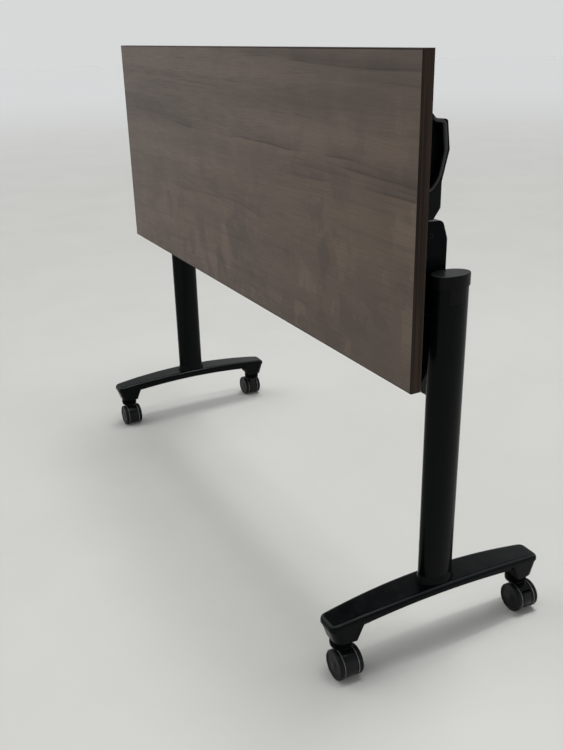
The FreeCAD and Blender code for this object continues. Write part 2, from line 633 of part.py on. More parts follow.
# Tilting brackets, their covers, pins and stops, all on the worktop
def tilt_hardware():
    bracket = new_body("tilt_bracket_blank")
    low = f"{PIVOT_Z} - plate_below"
    high = f"{PIVOT_Z} + cover_above"
    plate(bracket, "bracket_base", "XZ_Plane", f"-{PLATE_Y}", [
        (f"{COVER_IN} - plate_wing", low), (COVER_OUT, low),
        (COVER_OUT, high), (f"{COVER_IN} - plate_wing", high),
    ], "sheet_steel")
    cheek = [
        (BACK_Y, f"{PIVOT_Z} - cheek_foot"),
        (f"{PIVOT_Y} + cheek_round / 2", f"{PIVOT_Z} - cheek_round"),
        (f"{PIVOT_Y} + cheek_round", f"{PIVOT_Z} - cheek_round / 2"),
        (f"{SHAFT_Y} + cheek_lug", f"{SHAFT_Z} - cheek_lug"),
        (f"{SHAFT_Y} + cheek_lug", f"{SHAFT_Z} + cheek_lug / 3"),
        (SHAFT_Y, f"{high} - cover_wall - cheek_gap_above"),
        (BACK_Y, f"{high} - cover_wall - cheek_gap_above"),
    ]
    plate(bracket, "cheek_outer", "YZ_Plane", f"{CHEEK_OUT} - sheet_steel", cheek, "sheet_steel")
    plate(bracket, "cheek_inner", "YZ_Plane", f"{CHEEK_IN} - sheet_steel", cheek, "sheet_steel")
    bore(bracket, "bracket_bores", "YZ_Plane", CHEEK_IN, [(PIVOT_Y, PIVOT_Z, "pin_radius + press_gap")])
    shaft_hole = rod("bracket_shaft_hole", f"{CHEEK_IN} - 2 * sheet_steel", SHAFT_Y, SHAFT_Z,
                     "shaft_radius + shaft_gap", "3 * sheet_steel", ALONG_X)
    holes = group("bracket_holes", [shaft_hole, screw_holes("bracket_screw_hole", BRACKET_SCREWS)])
    both_sides("tilt_bracket", cut("tilt_bracket_right", bracket, holes))
    node(screws("bracket_screws", BRACKET_SCREWS), "bracket_screws")

    cover = new_body("cover_shell")
    cover_low = f"{PIVOT_Z} - cover_below"
    cover_high = f"{PIVOT_Z} + cover_above"
    seat = f"{PLATE_Y} + cover_seat"
    far = f"{BACK_Y} + cover_depth"
    plate(cover, "cover_block", "YZ_Plane", COVER_IN, [
        (seat, cover_low), (far, cover_low), (far, f"{cover_high} - shoulder_fall"),
        (f"{far} - shoulder_lead", cover_high), (seat, cover_high),
    ], f"{COVER_OUT} - {COVER_IN}")
    far_y = -size("pivot_lead") - size("pivot_drop") + size("top_thickness") + size("cover_depth")
    shoulder_y = far_y - size("shoulder_lead")
    round_edges(cover, "cover_corners", "cover_round",
                lambda edge: runs_along(edge, "x") and edge.CenterOfMass.y > shoulder_y - 0.01)
    round_edges(cover, "cover_edges", "cover_edge",
                lambda edge: edge.BoundBox.XLength < 0.01
                and edge.BoundBox.YMax > shoulder_y - size("cover_round"))
    inside = new_body("cover_inside")
    plate(inside, "cover_room", "YZ_Plane", f"{COVER_IN} + cover_wall", [
        (f"{seat} - 1", f"{cover_low} - 1"), (f"{far} - cover_wall", f"{cover_low} - 1"),
        (f"{far} - cover_wall", f"{cover_high} - shoulder_fall - cover_wall / 2"),
        (f"{far} - shoulder_lead - cover_wall / 2", f"{cover_high} - cover_wall"),
        (f"{seat} - 1", f"{cover_high} - cover_wall"),
    ], f"{COVER_OUT} - {COVER_IN} - 2 * cover_wall")
    round_edges(inside, "room_corners", "cover_round - cover_wall",
                lambda edge: runs_along(edge, "x")
                and edge.CenterOfMass.y > shoulder_y - size("cover_wall"))
    neck_slot = box("cover_neck_slot", f"{ARM_IN} - slot_play", f"{far} - cover_depth / 2",
                    f"{cover_low} - 1", "neck_width + 2 * slot_play", "cover_depth",
                    "cover_below + neck_half + slot_play + 1")
    lever_slot = box("cover_lever_slot", f"{LEVER_IN} - slot_play", f"{SHAFT_Y} - slot_lead", SHAFT_Z,
                     "lever_width + 2 * slot_play", "slot_lead + slot_reach", f"{cover_high} - {SHAFT_Z} + 1")
    shaft_slot = rod("cover_shaft_hole", f"{COVER_IN} - 1", SHAFT_Y, SHAFT_Z, "shaft_radius + slot_play - 1",
                     "cover_wall + 2", ALONG_X)
    cuts = group("cover_cuts", [inside, neck_slot, lever_slot, shaft_slot])
    both_sides("hinge_cover", cut("hinge_cover_right", cover, cuts))

    pin = rod("pivot_pin_shank", f"{CHEEK_IN} - sheet_steel - 1", PIVOT_Y, PIVOT_Z, "pin_radius",
              f"{CHEEK_OUT} - {CHEEK_IN} + sheet_steel + 1.5", ALONG_X)
    head = rod("pivot_pin_head", CHEEK_OUT, PIVOT_Y, PIVOT_Z, "pin_head_radius", "pin_head", ALONG_X)
    node(pair("pivot_pins", fuse("pivot_pin", [pin, head])), "pivot_pins")

    stop_y = f"({PIVOT_Y} + stop_fall)"
    stop_z = f"({PIVOT_Z} + neck_half + stop_radius + stop_gap)"
    stop = rod("stop_pin", f"{ARM_IN} + 2", stop_y, stop_z, "stop_radius",
               f"{CHEEK_OUT} - sheet_steel - {ARM_IN} - 2", ALONG_X)
    node(pair("stop_pins", stop), "stop_pins")


# Release shaft and its two levers
def release():
    shaft_end = f"({LEVER_IN} + lever_width + 1)"
    shaft = rod("release_shaft", f"-{shaft_end}", SHAFT_Y, SHAFT_Z, "shaft_radius",
                f"2 * {shaft_end}", ALONG_X)
    node(shaft, "release_shaft")
    lever = new_body("release_lever_right")
    tooth_y = f"({PIVOT_Y} + tooth_lead)"
    tooth_low = f"({SHAFT_Z} + tooth_gap)"
    bar_low = f"({SHAFT_Z} + tooth_gap + tooth_height)"
    bar_high = f"({SHAFT_Z} + tooth_gap + tooth_height + hook_height)"
    hook = [
        (f"{tooth_y} - tooth_width / 2", tooth_low),
        (f"{tooth_y} + tooth_width / 2", tooth_low),
        (f"{tooth_y} + tooth_width / 2 + 1", bar_low),
        (f"{SHAFT_Y} - 4", bar_low),
        (f"{SHAFT_Y} - 4", bar_high),
        (f"{tooth_y} - tooth_width / 2", bar_high),
    ]
    plate(lever, "lever_hook", "YZ_Plane", LEVER_IN, hook, "lever_width")
    disc(lever, "lever_ring_pad", "YZ_Plane", LEVER_IN, SHAFT_Y, SHAFT_Z, "lever_ring", "lever_width")
    stalk = [
        (f"{SHAFT_Y} - stalk_width / 2", SHAFT_Z),
        (f"{SHAFT_Y} + stalk_width / 2", SHAFT_Z),
        (f"{SHAFT_Y} + stalk_width / 2", f"{SHAFT_Z} + grip_low + 4"),
        (f"{SHAFT_Y} - stalk_width / 2", f"{SHAFT_Z} + grip_low + 4"),
    ]
    plate(lever, "lever_stalk", "YZ_Plane", LEVER_IN, stalk, "lever_width")
    grip = [
        (f"{SHAFT_Y} - grip_thickness / 2", f"{SHAFT_Z} + grip_low"),
        (f"{SHAFT_Y} + grip_thickness / 2", f"{SHAFT_Z} + grip_low"),
        (f"{SHAFT_Y} + grip_tip / 2", f"{SHAFT_Z} + grip_top"),
        (f"{SHAFT_Y} - grip_thickness / 2 - 2", f"{SHAFT_Z} + grip_top"),
    ]
    grip_start = f"{LEVER_IN} + lever_width / 2 - grip_width / 2"
    plate(lever, "lever_grip", "YZ_Plane", grip_start, grip, "grip_width")
    bore(lever, "lever_bore", "YZ_Plane", LEVER_IN, [(SHAFT_Y, SHAFT_Z, "shaft_radius + press_gap")])
    both_sides("release_lever", lever)


# Under-top shelf: moulded end brackets and a welded wire rack
def shelf():
    bracket = new_body("shelf_bracket_blank")
    foot = BRACKET_FOOT
    outline = [
        (BACK_Y, foot),
        (f"{BACK_Y} + bracket_low", foot),
        (f"{BACK_Y} + bracket_waist", f"{foot} + bracket_heel"),
        (f"{BACK_Y} + bracket_waist", f"{foot} + waist_rise"),
        (f"{BACK_Y} + bracket_depth", f"{foot} + nose_low"),
        (f"{BACK_Y} + bracket_depth - nose_slope", f"{foot} + nose_high"),
        (f"{BACK_Y} + bracket_depth - step_setback", f"{foot} + nose_high + step_rise"),
        (f"{BACK_Y} + bracket_depth - crown_setback", f"{foot} + bracket_high"),
        (BACK_Y, f"{foot} + bracket_high"),
    ]
    plate(bracket, "bracket_web", "YZ_Plane", BRACKET_IN, outline, "bracket_thickness + rim_height")
    back_y = -size("pivot_lead") - size("pivot_drop") + size("top_thickness")
    round_edges(bracket, "bracket_corners", "bracket_round",
                lambda edge: runs_along(edge, "x") and edge.CenterOfMass.y > back_y + 1)
    room = new_sketch(bracket, "bracket_room_outline", "YZ_Plane", f"{BRACKET_IN} + bracket_thickness")
    add_outline(room, [
        (f"{BACK_Y} + rim_width", f"{foot} + rim_low + rim_width"),
        (f"{BACK_Y} + bracket_waist - rim_setback - rim_width / 3",
         f"{foot} + rim_low + rim_slope + rim_width"),
        (f"{BACK_Y} + bracket_waist - rim_waist", f"{foot} + rim_elbow"),
        (f"{BACK_Y} + bracket_depth - rim_width", f"{foot} + nose_low"),
        (f"{BACK_Y} + bracket_depth - nose_slope - rim_width", f"{foot} + nose_high - rim_top"),
        (f"{BACK_Y} + bracket_depth - step_setback - rim_top", f"{foot} + nose_high + step_rise - rim_top"),
        (f"{BACK_Y} + bracket_depth - crown_setback - rim_top", f"{foot} + bracket_high - rim_top"),
        (f"{BACK_Y} + rim_width", f"{foot} + bracket_high - rim_top"),
    ])
    pocket = bracket.newObject("PartDesign::Pocket", "bracket_room")
    pocket.Profile = room
    pocket.Reversed = True
    bind(pocket, "Length", "rim_height + 1")
    room.Visibility = False
    plate(bracket, "bracket_flange", "XZ_Plane", f"-{PLATE_Y}", [
        (f"{BRACKET_IN} - bracket_wing", f"{foot} + tab_low"), (f"{BRACKET_IN} + 1", f"{foot} + tab_low"),
        (f"{BRACKET_IN} + 1", f"{foot} + tab_high"), (f"{BRACKET_IN} - bracket_wing", f"{foot} + tab_high"),
    ], "sheet_steel")
    bore_places = []
    for level in ("shelf_top", "wire_level"):
        bore_places.append(f"{MIDDLE_Z} + {level}")
    sockets = []
    for number, height in enumerate(bore_places):
        sockets.append(rod("wire_socket%d" % number, f"{BRACKET_IN} - 1", SHELF_Y, height,
                           "wire_radius + socket_play", "socket_bite + 1 + 3 * socket_play", ALONG_X))
    holes = group("shelf_bracket_holes", sockets + [screw_holes("shelf_screw_hole", SHELF_SCREWS)])
    both_sides("shelf_bracket", cut("shelf_bracket_right", bracket, holes))
    node(screws("shelf_screws", SHELF_SCREWS), "shelf_screws")

    wires = []
    rows = int(size("shelf_rows"))
    for number in range(rows):
        rise = f"{MIDDLE_Z} - shelf_bottom + {number} * (shelf_top + shelf_bottom - wire_margin) / {rows - 1}"
        wires.append(rod("shelf_wire%d" % number, f"-{SHELF_HALF}", SHELF_Y, rise, "wire_radius",
                         f"2 * {SHELF_HALF}", ALONG_X))
    reach = f"({BRACKET_IN} + socket_bite)"
    for number, height in enumerate(bore_places):
        wires.append(rod("shelf_long_wire%d" % number, f"-{reach}", SHELF_Y, height, "wire_radius",
                         f"2 * {reach}", ALONG_X))
    crosses = int(size("cross_count"))
    for number in range(crosses):
        x = f"({SHELF_HALF} - cross_margin) * {2 * number / (crosses - 1) - 1}"
        wires.append(rod("shelf_cross%d" % number, x, f"{SHELF_Y} + wire_radius + cross_radius - weld_bite",
                         f"{MIDDLE_Z} - shelf_bottom - wire_radius", "cross_radius",
                         "shelf_top + shelf_bottom + 2 * wire_radius"))
    node(fuse("wire_shelf", wires), "wire_shelf")


# Twin-wheel casters, drawn at their places with the trail along X
def caster(tag, side, facing, trail_sign, braked):
    x = f"({side} * post_reach)"
    y = f"({facing} * {STEM_Y})"
    wheel_x = f"({x} + {trail_sign} * trail)"
    hood_radius = "(wheel_radius - hood_inset)"
    stem_foot = "(wheel_radius + stem_lift)"
    drum = rod("hood_drum_" + tag, wheel_x, f"{y} - hood_width / 2", "wheel_radius", hood_radius,
               "hood_width", ALONG_Y)
    neck_start = "(2 * wheel_radius + neck_clear)"
    neck = rod("hood_neck_" + tag, x, y, neck_start, "neck_radius", f"block_bottom - neck_gap - {neck_start}")
    root = rod("hood_root_" + tag, x, y, "wheel_radius", "hood_width / 2 - root_inset",
               f"{neck_start} + 1 - wheel_radius")
    trim = box("hood_trim_" + tag, f"{wheel_x} - wheel_radius", f"{y} - wheel_radius", "-1",
               "2 * wheel_radius", "2 * wheel_radius", "hood_lift + 1")
    stem_hole = rod("hood_stem_hole_" + tag, x, y, stem_foot, "stem_radius + press_gap", "block_bottom")
    axle_hole = rod("hood_axle_hole_" + tag, wheel_x, f"{y} - hood_width", "wheel_radius",
                    "axle_radius + press_gap", "2 * hood_width", ALONG_Y)
    cuts = [trim, stem_hole, axle_hole]
    hinge_x = f"({wheel_x} + {trail_sign} * pedal_lead)"
    hinge_z = "(wheel_radius + pedal_rise)"
    room_low = "(wheel_radius - pedal_low)"
    room_high = "(wheel_radius + pedal_top)"
    back = "(pedal_lead - pedal_back)"

    def trailing_box(name, near, width, low, high):
        """A box on the trailing side, from this far past the wheel's axis out past the wheel."""
        begin = f"{wheel_x} + {near}" if trail_sign > 0 else f"{wheel_x} - wheel_radius - 1"
        return box(name, begin, f"{y} - ({width}) / 2", low, f"wheel_radius + 1 - ({near})", width,
                   f"{high} - {low}")

    if braked:
        cuts.append(trailing_box("hood_pedal_room_" + tag, f"{back} - pedal_swing",
                                 "pedal_width + 2 * pedal_gap", f"({room_low} - pedal_room)",
                                 f"({room_high} + pedal_room)"))
        cuts.append(rod("hood_pedal_hole_" + tag, hinge_x, f"{y} - hood_width", hinge_z,
                        "pedal_pin + axle_gap", "2 * hood_width", ALONG_Y))
    blank = fuse("hood_blank_" + tag, [drum, root, neck])
    hood = cut("caster_hood_" + tag, blank, group("hood_cuts_" + tag, cuts))
    node(hood, "caster_hood_" + tag)
    stem = rod("caster_stem_" + tag, x, y, f"{stem_foot} + press_gap", "stem_radius",
               f"block_bottom + socket_depth - {stem_foot} - 2")
    node(stem, "caster_stem_" + tag)
    half = "(hood_width / 2 + wheel_play + wheel_width)"
    node(rod("caster_axle_" + tag, wheel_x, f"{y} - {half} + dish_depth + 1", "wheel_radius", "axle_radius",
             f"2 * {half} - 2 * dish_depth - 2", ALONG_Y), "caster_axle_" + tag)
    for end, sign in (("front", -1), ("rear", 1)):
        near = f"{y} + {sign} * (hood_width / 2 + wheel_play)"
        start = near if sign > 0 else f"{near} - wheel_width"
        name = "%s_%s" % (tag, end)
        tread = rod("tread_" + name, wheel_x, start, "wheel_radius", "wheel_radius", "wheel_width", ALONG_Y)
        rounded = doc.addObject("Part::Fillet", "tread_round_" + name)
        doc.recompute()
        outer_y = tread.Shape.BoundBox.YMin if sign < 0 else tread.Shape.BoundBox.YMax
        rounded.Base = tread
        outer_edges = []
        for number, edge in enumerate(tread.Shape.Edges, start=1):
            if isinstance(edge.Curve, Part.Circle) and abs(edge.CenterOfMass.y - outer_y) < 0.01:
                outer_edges.append((number, size("wheel_round"), size("wheel_round")))
        rounded.Edges = outer_edges
        dish_start = f"{start} - 1" if sign < 0 else f"{start} + wheel_width - dish_depth"
        dish = rod("dish_" + name, wheel_x, dish_start, "wheel_radius", "dish_radius", "dish_depth + 1",
                   ALONG_Y)
        hole = rod("wheel_hole_" + name, wheel_x, f"{start} - 2", "wheel_radius", "axle_radius + axle_gap",
                   "wheel_width + 4", ALONG_Y)
        node(cut("wheel_" + name, rounded, group("wheel_cuts_" + name, [dish, hole])), "wheel_" + name)
    if braked:
        sweep = rod("pedal_drum_" + tag, wheel_x, f"{y} - pedal_width / 2", "wheel_radius",
                    f"{hood_radius} - pedal_inset", "pedal_width", ALONG_Y)
        block = trailing_box("pedal_block_" + tag, back, "pedal_width", room_low, room_high)
        boss = rod("pedal_boss_" + tag, hinge_x, f"{y} - pedal_width / 2", hinge_z, "pedal_boss",
                   "pedal_width", ALONG_Y)
        bar = rod("pedal_bar_" + tag, hinge_x, f"{y} - hood_width / 2 + axle_gap", hinge_z, "pedal_pin",
                  "hood_width - 2 * axle_gap", ALONG_Y)
        step = common("pedal_step_" + tag, sweep, block)
        node(fuse("brake_pedal_" + tag, [step, boss, bar]), "brake_pedal_" + tag)


worktop()
posts()
feet()
arms()
tilt_hardware()
release()
shelf()
caster("right_front", 1, -1, 1, False)
caster("right_rear", 1, 1, 1, True)
caster("left_front", -1, -1, 1, False)
caster("left_rear", -1, 1, -1, True)
doc.recompute()

faults = [item.Name for item in doc.Objects if "Invalid" in item.State or "Error" in item.State]
if faults:
    raise RuntimeError("these objects did not build: " + ", ".join(faults))
os.makedirs("parts", exist_ok=True)
for item in NODES:
    if item.Shape.isNull() or not item.Shape.isValid():
        raise RuntimeError("bad shape: " + item.Label)
    item.Shape.exportStep("parts/%s.step" % item.Label)
    print(item.Label, len(item.Shape.Solids), round(item.Shape.Volume))
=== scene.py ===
import json
import math
from collections import namedtuple

import bmesh
import bpy
from mathutils import Matrix, Vector


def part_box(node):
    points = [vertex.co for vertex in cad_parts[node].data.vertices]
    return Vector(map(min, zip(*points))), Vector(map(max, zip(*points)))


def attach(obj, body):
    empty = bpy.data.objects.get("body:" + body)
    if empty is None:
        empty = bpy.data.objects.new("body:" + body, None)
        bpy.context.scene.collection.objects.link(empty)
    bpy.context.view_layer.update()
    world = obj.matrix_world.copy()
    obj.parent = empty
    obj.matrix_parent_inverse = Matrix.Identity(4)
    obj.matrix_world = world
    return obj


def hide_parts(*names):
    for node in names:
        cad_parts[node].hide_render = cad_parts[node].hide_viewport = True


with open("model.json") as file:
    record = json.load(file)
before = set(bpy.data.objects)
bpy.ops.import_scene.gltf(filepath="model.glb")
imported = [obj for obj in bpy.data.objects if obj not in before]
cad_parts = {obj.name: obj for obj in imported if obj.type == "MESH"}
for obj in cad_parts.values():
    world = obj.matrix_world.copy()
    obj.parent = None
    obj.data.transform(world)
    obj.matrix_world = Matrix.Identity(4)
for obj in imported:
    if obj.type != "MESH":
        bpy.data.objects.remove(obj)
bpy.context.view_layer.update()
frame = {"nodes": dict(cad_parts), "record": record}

# A flip-top nesting table, its top folded upright with its face towards -Y. Lengths are in millimetres unless
# a comment says metres, and MM turns them into Blender's metres.
MM = 0.001
NODES = frame["nodes"]

CASTERS = ("right_front", "right_rear", "left_front", "left_rear")
BRAKED_CASTERS = ("right_rear", "left_rear")
# The two ends of the table, each with its direction outwards along X
SIDES = {"right": 1, "left": -1}

# Vertices this close together are one, in metres: those of new pieces and those of CAD meshes
MERGE, CAD_MERGE = 1e-6, 1e-5
# Facets round wheels and neck shade rings, screws, post welds and rim beads
WHEEL_STEPS, SCREW_STEPS, WELD_STEPS, BEAD_STEPS = 72, 36, 144, 24
# A Mix node's colour sockets, which come after its sockets for numbers and vectors
MIX_FIRST, MIX_SECOND, MIX_RESULT = 6, 7, 2


def node_box(name):
    """A CAD node's lowest corner and highest corner, in millimetres."""
    low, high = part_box(name)
    return Vector(low) / MM, Vector(high) / MM


# Finishes
class Finish:
    """A node material with short calls for the nodes that the table's finishes are mixed from."""

    def __init__(self, name, roughness, metallic=0.0, **values):
        self.material = bpy.data.materials.new(name)
        self.material.use_nodes = True
        self.tree = self.material.node_tree
        self.shader = self.tree.nodes["Principled BSDF"]
        self.shader.inputs["Roughness"].default_value = roughness
        self.shader.inputs["Metallic"].default_value = metallic
        for socket, value in values.items():
            self.shader.inputs[socket.replace("_", " ")].default_value = value
        self.place = self.tree.nodes.new("ShaderNodeTexCoord").outputs["Object"]

    def join(self, value, socket):
        """Sets a socket from another node's output or from a plain value."""
        if isinstance(value, bpy.types.NodeSocket):
            self.tree.links.new(value, socket)
        else:
            socket.default_value = value

    def axis(self, vector, letter):
        """The X, Y or Z of a vector."""
        parts = self.tree.nodes.new("ShaderNodeSeparateXYZ")
        self.join(vector, parts.inputs["Vector"])
        return parts.outputs[letter]

    def stretched(self, along, place=None):
        """The place on the piece, scaled by its own amount along each axis."""
        mapping = self.tree.nodes.new("ShaderNodeMapping")
        self.join(place or self.place, mapping.inputs["Vector"])
        mapping.inputs["Scale"].default_value = along
        return mapping.outputs["Vector"]

    def noise(self, along, detail=2.0, roughness=0.5, place=None, distortion=0.0):
        """Soft noise with its own number of waves per metre along each axis."""
        texture = self.tree.nodes.new("ShaderNodeTexNoise")
        self.join(self.stretched(along, place), texture.inputs["Vector"])
        texture.inputs["Scale"].default_value = 1.0
        texture.inputs["Detail"].default_value = detail
        texture.inputs["Roughness"].default_value = roughness
        texture.inputs["Distortion"].default_value = distortion
        return texture.outputs["Fac"]

    def sums(self, operation, first, second=0.0):
        """One step of arithmetic on outputs or plain numbers."""
        step = self.tree.nodes.new("ShaderNodeMath")
        step.operation = operation
        self.join(first, step.inputs[0])
        self.join(second, step.inputs[1])
        return step.outputs["Value"]

    def spread(self, value, low, high, to_low=0.0, to_high=1.0):
        """Maps low..high of a value to to_low..to_high, held at the ends."""
        step = self.tree.nodes.new("ShaderNodeMapRange")
        step.interpolation_type = "SMOOTHSTEP"
        self.join(value, step.inputs["Value"])
        step.inputs["From Min"].default_value = low
        step.inputs["From Max"].default_value = high
        step.inputs["To Min"].default_value = to_low
        step.inputs["To Max"].default_value = to_high
        return step.outputs["Result"]

    def blend(self, amount, first, second):
        """Mixes two colours, each an output or three numbers."""
        step = self.tree.nodes.new("ShaderNodeMix")
        step.data_type = "RGBA"
        self.join(amount, step.inputs["Factor"])
        for colour, number in ((first, MIX_FIRST), (second, MIX_SECOND)):
            value = colour if isinstance(colour, bpy.types.NodeSocket) else (*colour, 1.0)
            self.join(value, step.inputs[number])
        return step.outputs[MIX_RESULT]

    def paint(self, colour):
        self.join(colour, self.shader.inputs["Base Color"])

    def gloss(self, value):
        self.join(value, self.shader.inputs["Roughness"])

    def relief(self, height, depth, strength):
        """Bump from a height between 0 and 1 that stands for this depth in millimetres."""
        bump = self.tree.nodes.new("ShaderNodeBump")
        bump.inputs["Strength"].default_value = strength
        bump.inputs["Distance"].default_value = depth * MM
        self.join(height, bump.inputs["Height"])
        self.join(bump.outputs["Normal"], self.shader.inputs["Normal"])


# The worktop's tones
BAND_DARK, BAND_LIGHT = (0.088, 0.064, 0.051), (0.136, 0.100, 0.079)
# The low tone darkens the lower right, partly as the wood's tone and partly as painted shade
WARM_TONE, LOW_DARK_AND_SHADE_TONE = (0.132, 0.090, 0.060), (0.066, 0.047, 0.034)
BAR_DARK, BAR_LIGHT = (0.052, 0.039, 0.032), (0.186, 0.140, 0.106)
CLOUD_TONE, PORE_TONE, VEIN_TONE = (0.058, 0.043, 0.035), (0.050, 0.037, 0.031), (0.034, 0.023, 0.018)
# How far the grain wavers up and down, in metres, and how the warm low part slants along X
GRAIN_DRIFT, WARM_SLANT = 0.06, 0.22

# The worktop's dark veins, in metres: height in the middle of the board, rise along X, sway, half thickness,
# where along X a vein is strongest and how far it runs to each side; then how much it darkens
Vein = namedtuple("Vein", "height rise sway half middle run darkening")
VEINS = (
    Vein(0.923, -0.020, 0.008, 0.0034, 0.42, 0.40, 0.78),
    Vein(0.900, -0.014, 0.012, 0.0030, 0.50, 0.36, 0.40),
    Vein(0.868, -0.024, 0.014, 0.0050, 0.10, 0.60, 0.34),
    Vein(0.838, -0.010, 0.016, 0.0040, 0.40, 0.50, 0.30),
    Vein(0.800, -0.012, 0.014, 0.0042, -0.40, 0.45, 0.52),
    Vein(0.789, -0.022, 0.026, 0.0036, 0.10, 0.55, 0.84),
    Vein(0.779, -0.008, 0.012, 0.0030, 0.48, 0.34, 0.78),
    Vein(0.770, -0.016, 0.010, 0.0026, 0.52, 0.30, 0.70),
    Vein(0.757, -0.006, 0.016, 0.0040, 0.46, 0.32, 0.80),
    Vein(0.735, -0.010, 0.020, 0.0050, 0.30, 0.40, 0.28),
    Vein(0.655, -0.030, 0.020, 0.0050, -0.10, 0.60, 0.26),
    Vein(0.603, 0.014, 0.026, 0.0070, 0.10, 0.60, 0.22),
    Vein(0.540, -0.016, 0.022, 0.0050, 0.00, 0.70, 0.22),
)
# Veins are this far apart in the noise they are drawn from, so that each wavers by itself
VEIN_OFFSET = 7.3


def add_vein(finish, colour, number, vein, across, height):
    """Darkens a thin wavering line along X that fades in and out, with a soft shade above it."""
    def along(pace, detail):
        texture = finish.tree.nodes.new("ShaderNodeTexNoise")
        texture.noise_dimensions = "1D"
        paced = finish.sums("MULTIPLY", across, pace)
        finish.join(finish.sums("ADD", paced, VEIN_OFFSET * number), texture.inputs["W"])
        texture.inputs["Scale"].default_value = 1.0
        texture.inputs["Detail"].default_value = detail
        return texture.outputs["Fac"]

    sway = finish.sums("MULTIPLY", finish.sums("SUBTRACT", along(2.2, 1.6), 0.5), 2 * vein.sway)
    rise = finish.sums("MULTIPLY", across, vein.rise)
    line = finish.sums("ADD", rise, finish.sums("ADD", sway, vein.height))
    above = finish.sums("SUBTRACT", height, line)
    core = finish.spread(finish.sums("ABSOLUTE", above), 0.0, vein.half, 1.0, 0.0)
    shade = finish.spread(above, 0.0, 8 * vein.half, 0.55, 0.0)
    shade = finish.sums("MULTIPLY", shade, finish.spread(above, -vein.half, 0.0))
    away = finish.sums("ABSOLUTE", finish.sums("SUBTRACT", across, vein.middle))
    ends = finish.spread(away, 0.45 * vein.run, vein.run, 1.0, 0.0)
    fade = finish.sums("MULTIPLY", finish.spread(along(4.6, 2.0), 0.36, 0.60, 0.20, 1.0), ends)
    mark = finish.sums("MULTIPLY", finish.sums("MAXIMUM", core, shade), fade)
    return finish.blend(finish.sums("MULTIPLY", mark, vein.darkening), colour, VEIN_TONE)


def drifting_grain(finish):
    """The place on the board, moved a little up or down from spot to spot, so that the grain wavers."""
    drift = finish.noise((1.1, 1.0, 3.0), detail=2.0)
    shift = finish.tree.nodes.new("ShaderNodeCombineXYZ")
    rise = finish.sums("MULTIPLY", finish.sums("SUBTRACT", drift, 0.5), GRAIN_DRIFT)
    finish.join(rise, shift.inputs["Z"])
    moved = finish.tree.nodes.new("ShaderNodeVectorMath")
    moved.operation = "ADD"
    finish.join(finish.place, moved.inputs[0])
    finish.join(shift.outputs["Vector"], moved.inputs[1])
    return moved.outputs["Vector"]


def broad_tones(finish, grain_place, slope):
    """Soft bands along the grain, warmer towards the lower right and darker there, partly the wood's own tone
    and partly painted shade.
    """
    bands = finish.noise((0.8, 1.0, 15.0), detail=5.0, roughness=0.55, place=grain_place)
    colour = finish.blend(finish.spread(bands, 0.30, 0.70), BAND_DARK, BAND_LIGHT)
    uneven = finish.spread(finish.noise((1.9, 1.0, 3.4), detail=2.0), 0.28, 0.62, 0.25, 1.0)
    warm = finish.sums("MULTIPLY", finish.spread(slope, -0.86, -0.58), uneven)
    colour = finish.blend(finish.sums("MULTIPLY", warm, 0.62), colour, WARM_TONE)
    # Darker towards the lower right: partly the wood's tone, partly painted shade
    return finish.blend(finish.spread(slope, -0.78, -0.42, 0.0, 0.60), colour, LOW_DARK_AND_SHADE_TONE)


def upright_figure(finish, colour, slope):
    """Adds upright bars in scattered patches, dark and light and strongest towards the lower right, and faint
    dark clouds."""
    patch = finish.spread(finish.noise((3.6, 1.0, 6.5), detail=2.0, roughness=0.6), 0.36, 0.54)
    figure = finish.sums("MULTIPLY", patch, finish.spread(slope, -0.92, -0.52, 0.12, 1.0))
    blocks = finish.tree.nodes.new("ShaderNodeTexVoronoi")
    blocks.feature = "SMOOTH_F1"
    blocks.distance = "CHEBYCHEV"
    finish.join(finish.stretched((24.0, 1.0, 13.0)), blocks.inputs["Vector"])
    blocks.inputs["Scale"].default_value = 1.0
    blocks.inputs["Smoothness"].default_value = 0.2
    blocks.inputs["Randomness"].default_value = 0.85
    block_tone = finish.sums("MULTIPLY", finish.sums("SUBTRACT", blocks.outputs["Color"], 0.5), 0.40)
    soft_tone = finish.noise((12.5, 1.0, 12.5), detail=3.0, roughness=0.6, distortion=0.2)
    bars = finish.sums("ADD", soft_tone, block_tone)
    for start, full, strength, tone in ((0.46, 0.36, 0.46, BAR_DARK), (0.56, 0.66, 0.30, BAR_LIGHT)):
        amount = finish.sums("MULTIPLY", figure, strength)
        mark = finish.sums("MULTIPLY", finish.spread(bars, start, full), amount)
        colour = finish.blend(mark, colour, tone)
    cloud = finish.noise((7.0, 1.0, 11.0), detail=4.0, roughness=0.6)
    return finish.blend(finish.spread(cloud, 0.52, 0.34, 0.0, 0.20), colour, CLOUD_TONE)


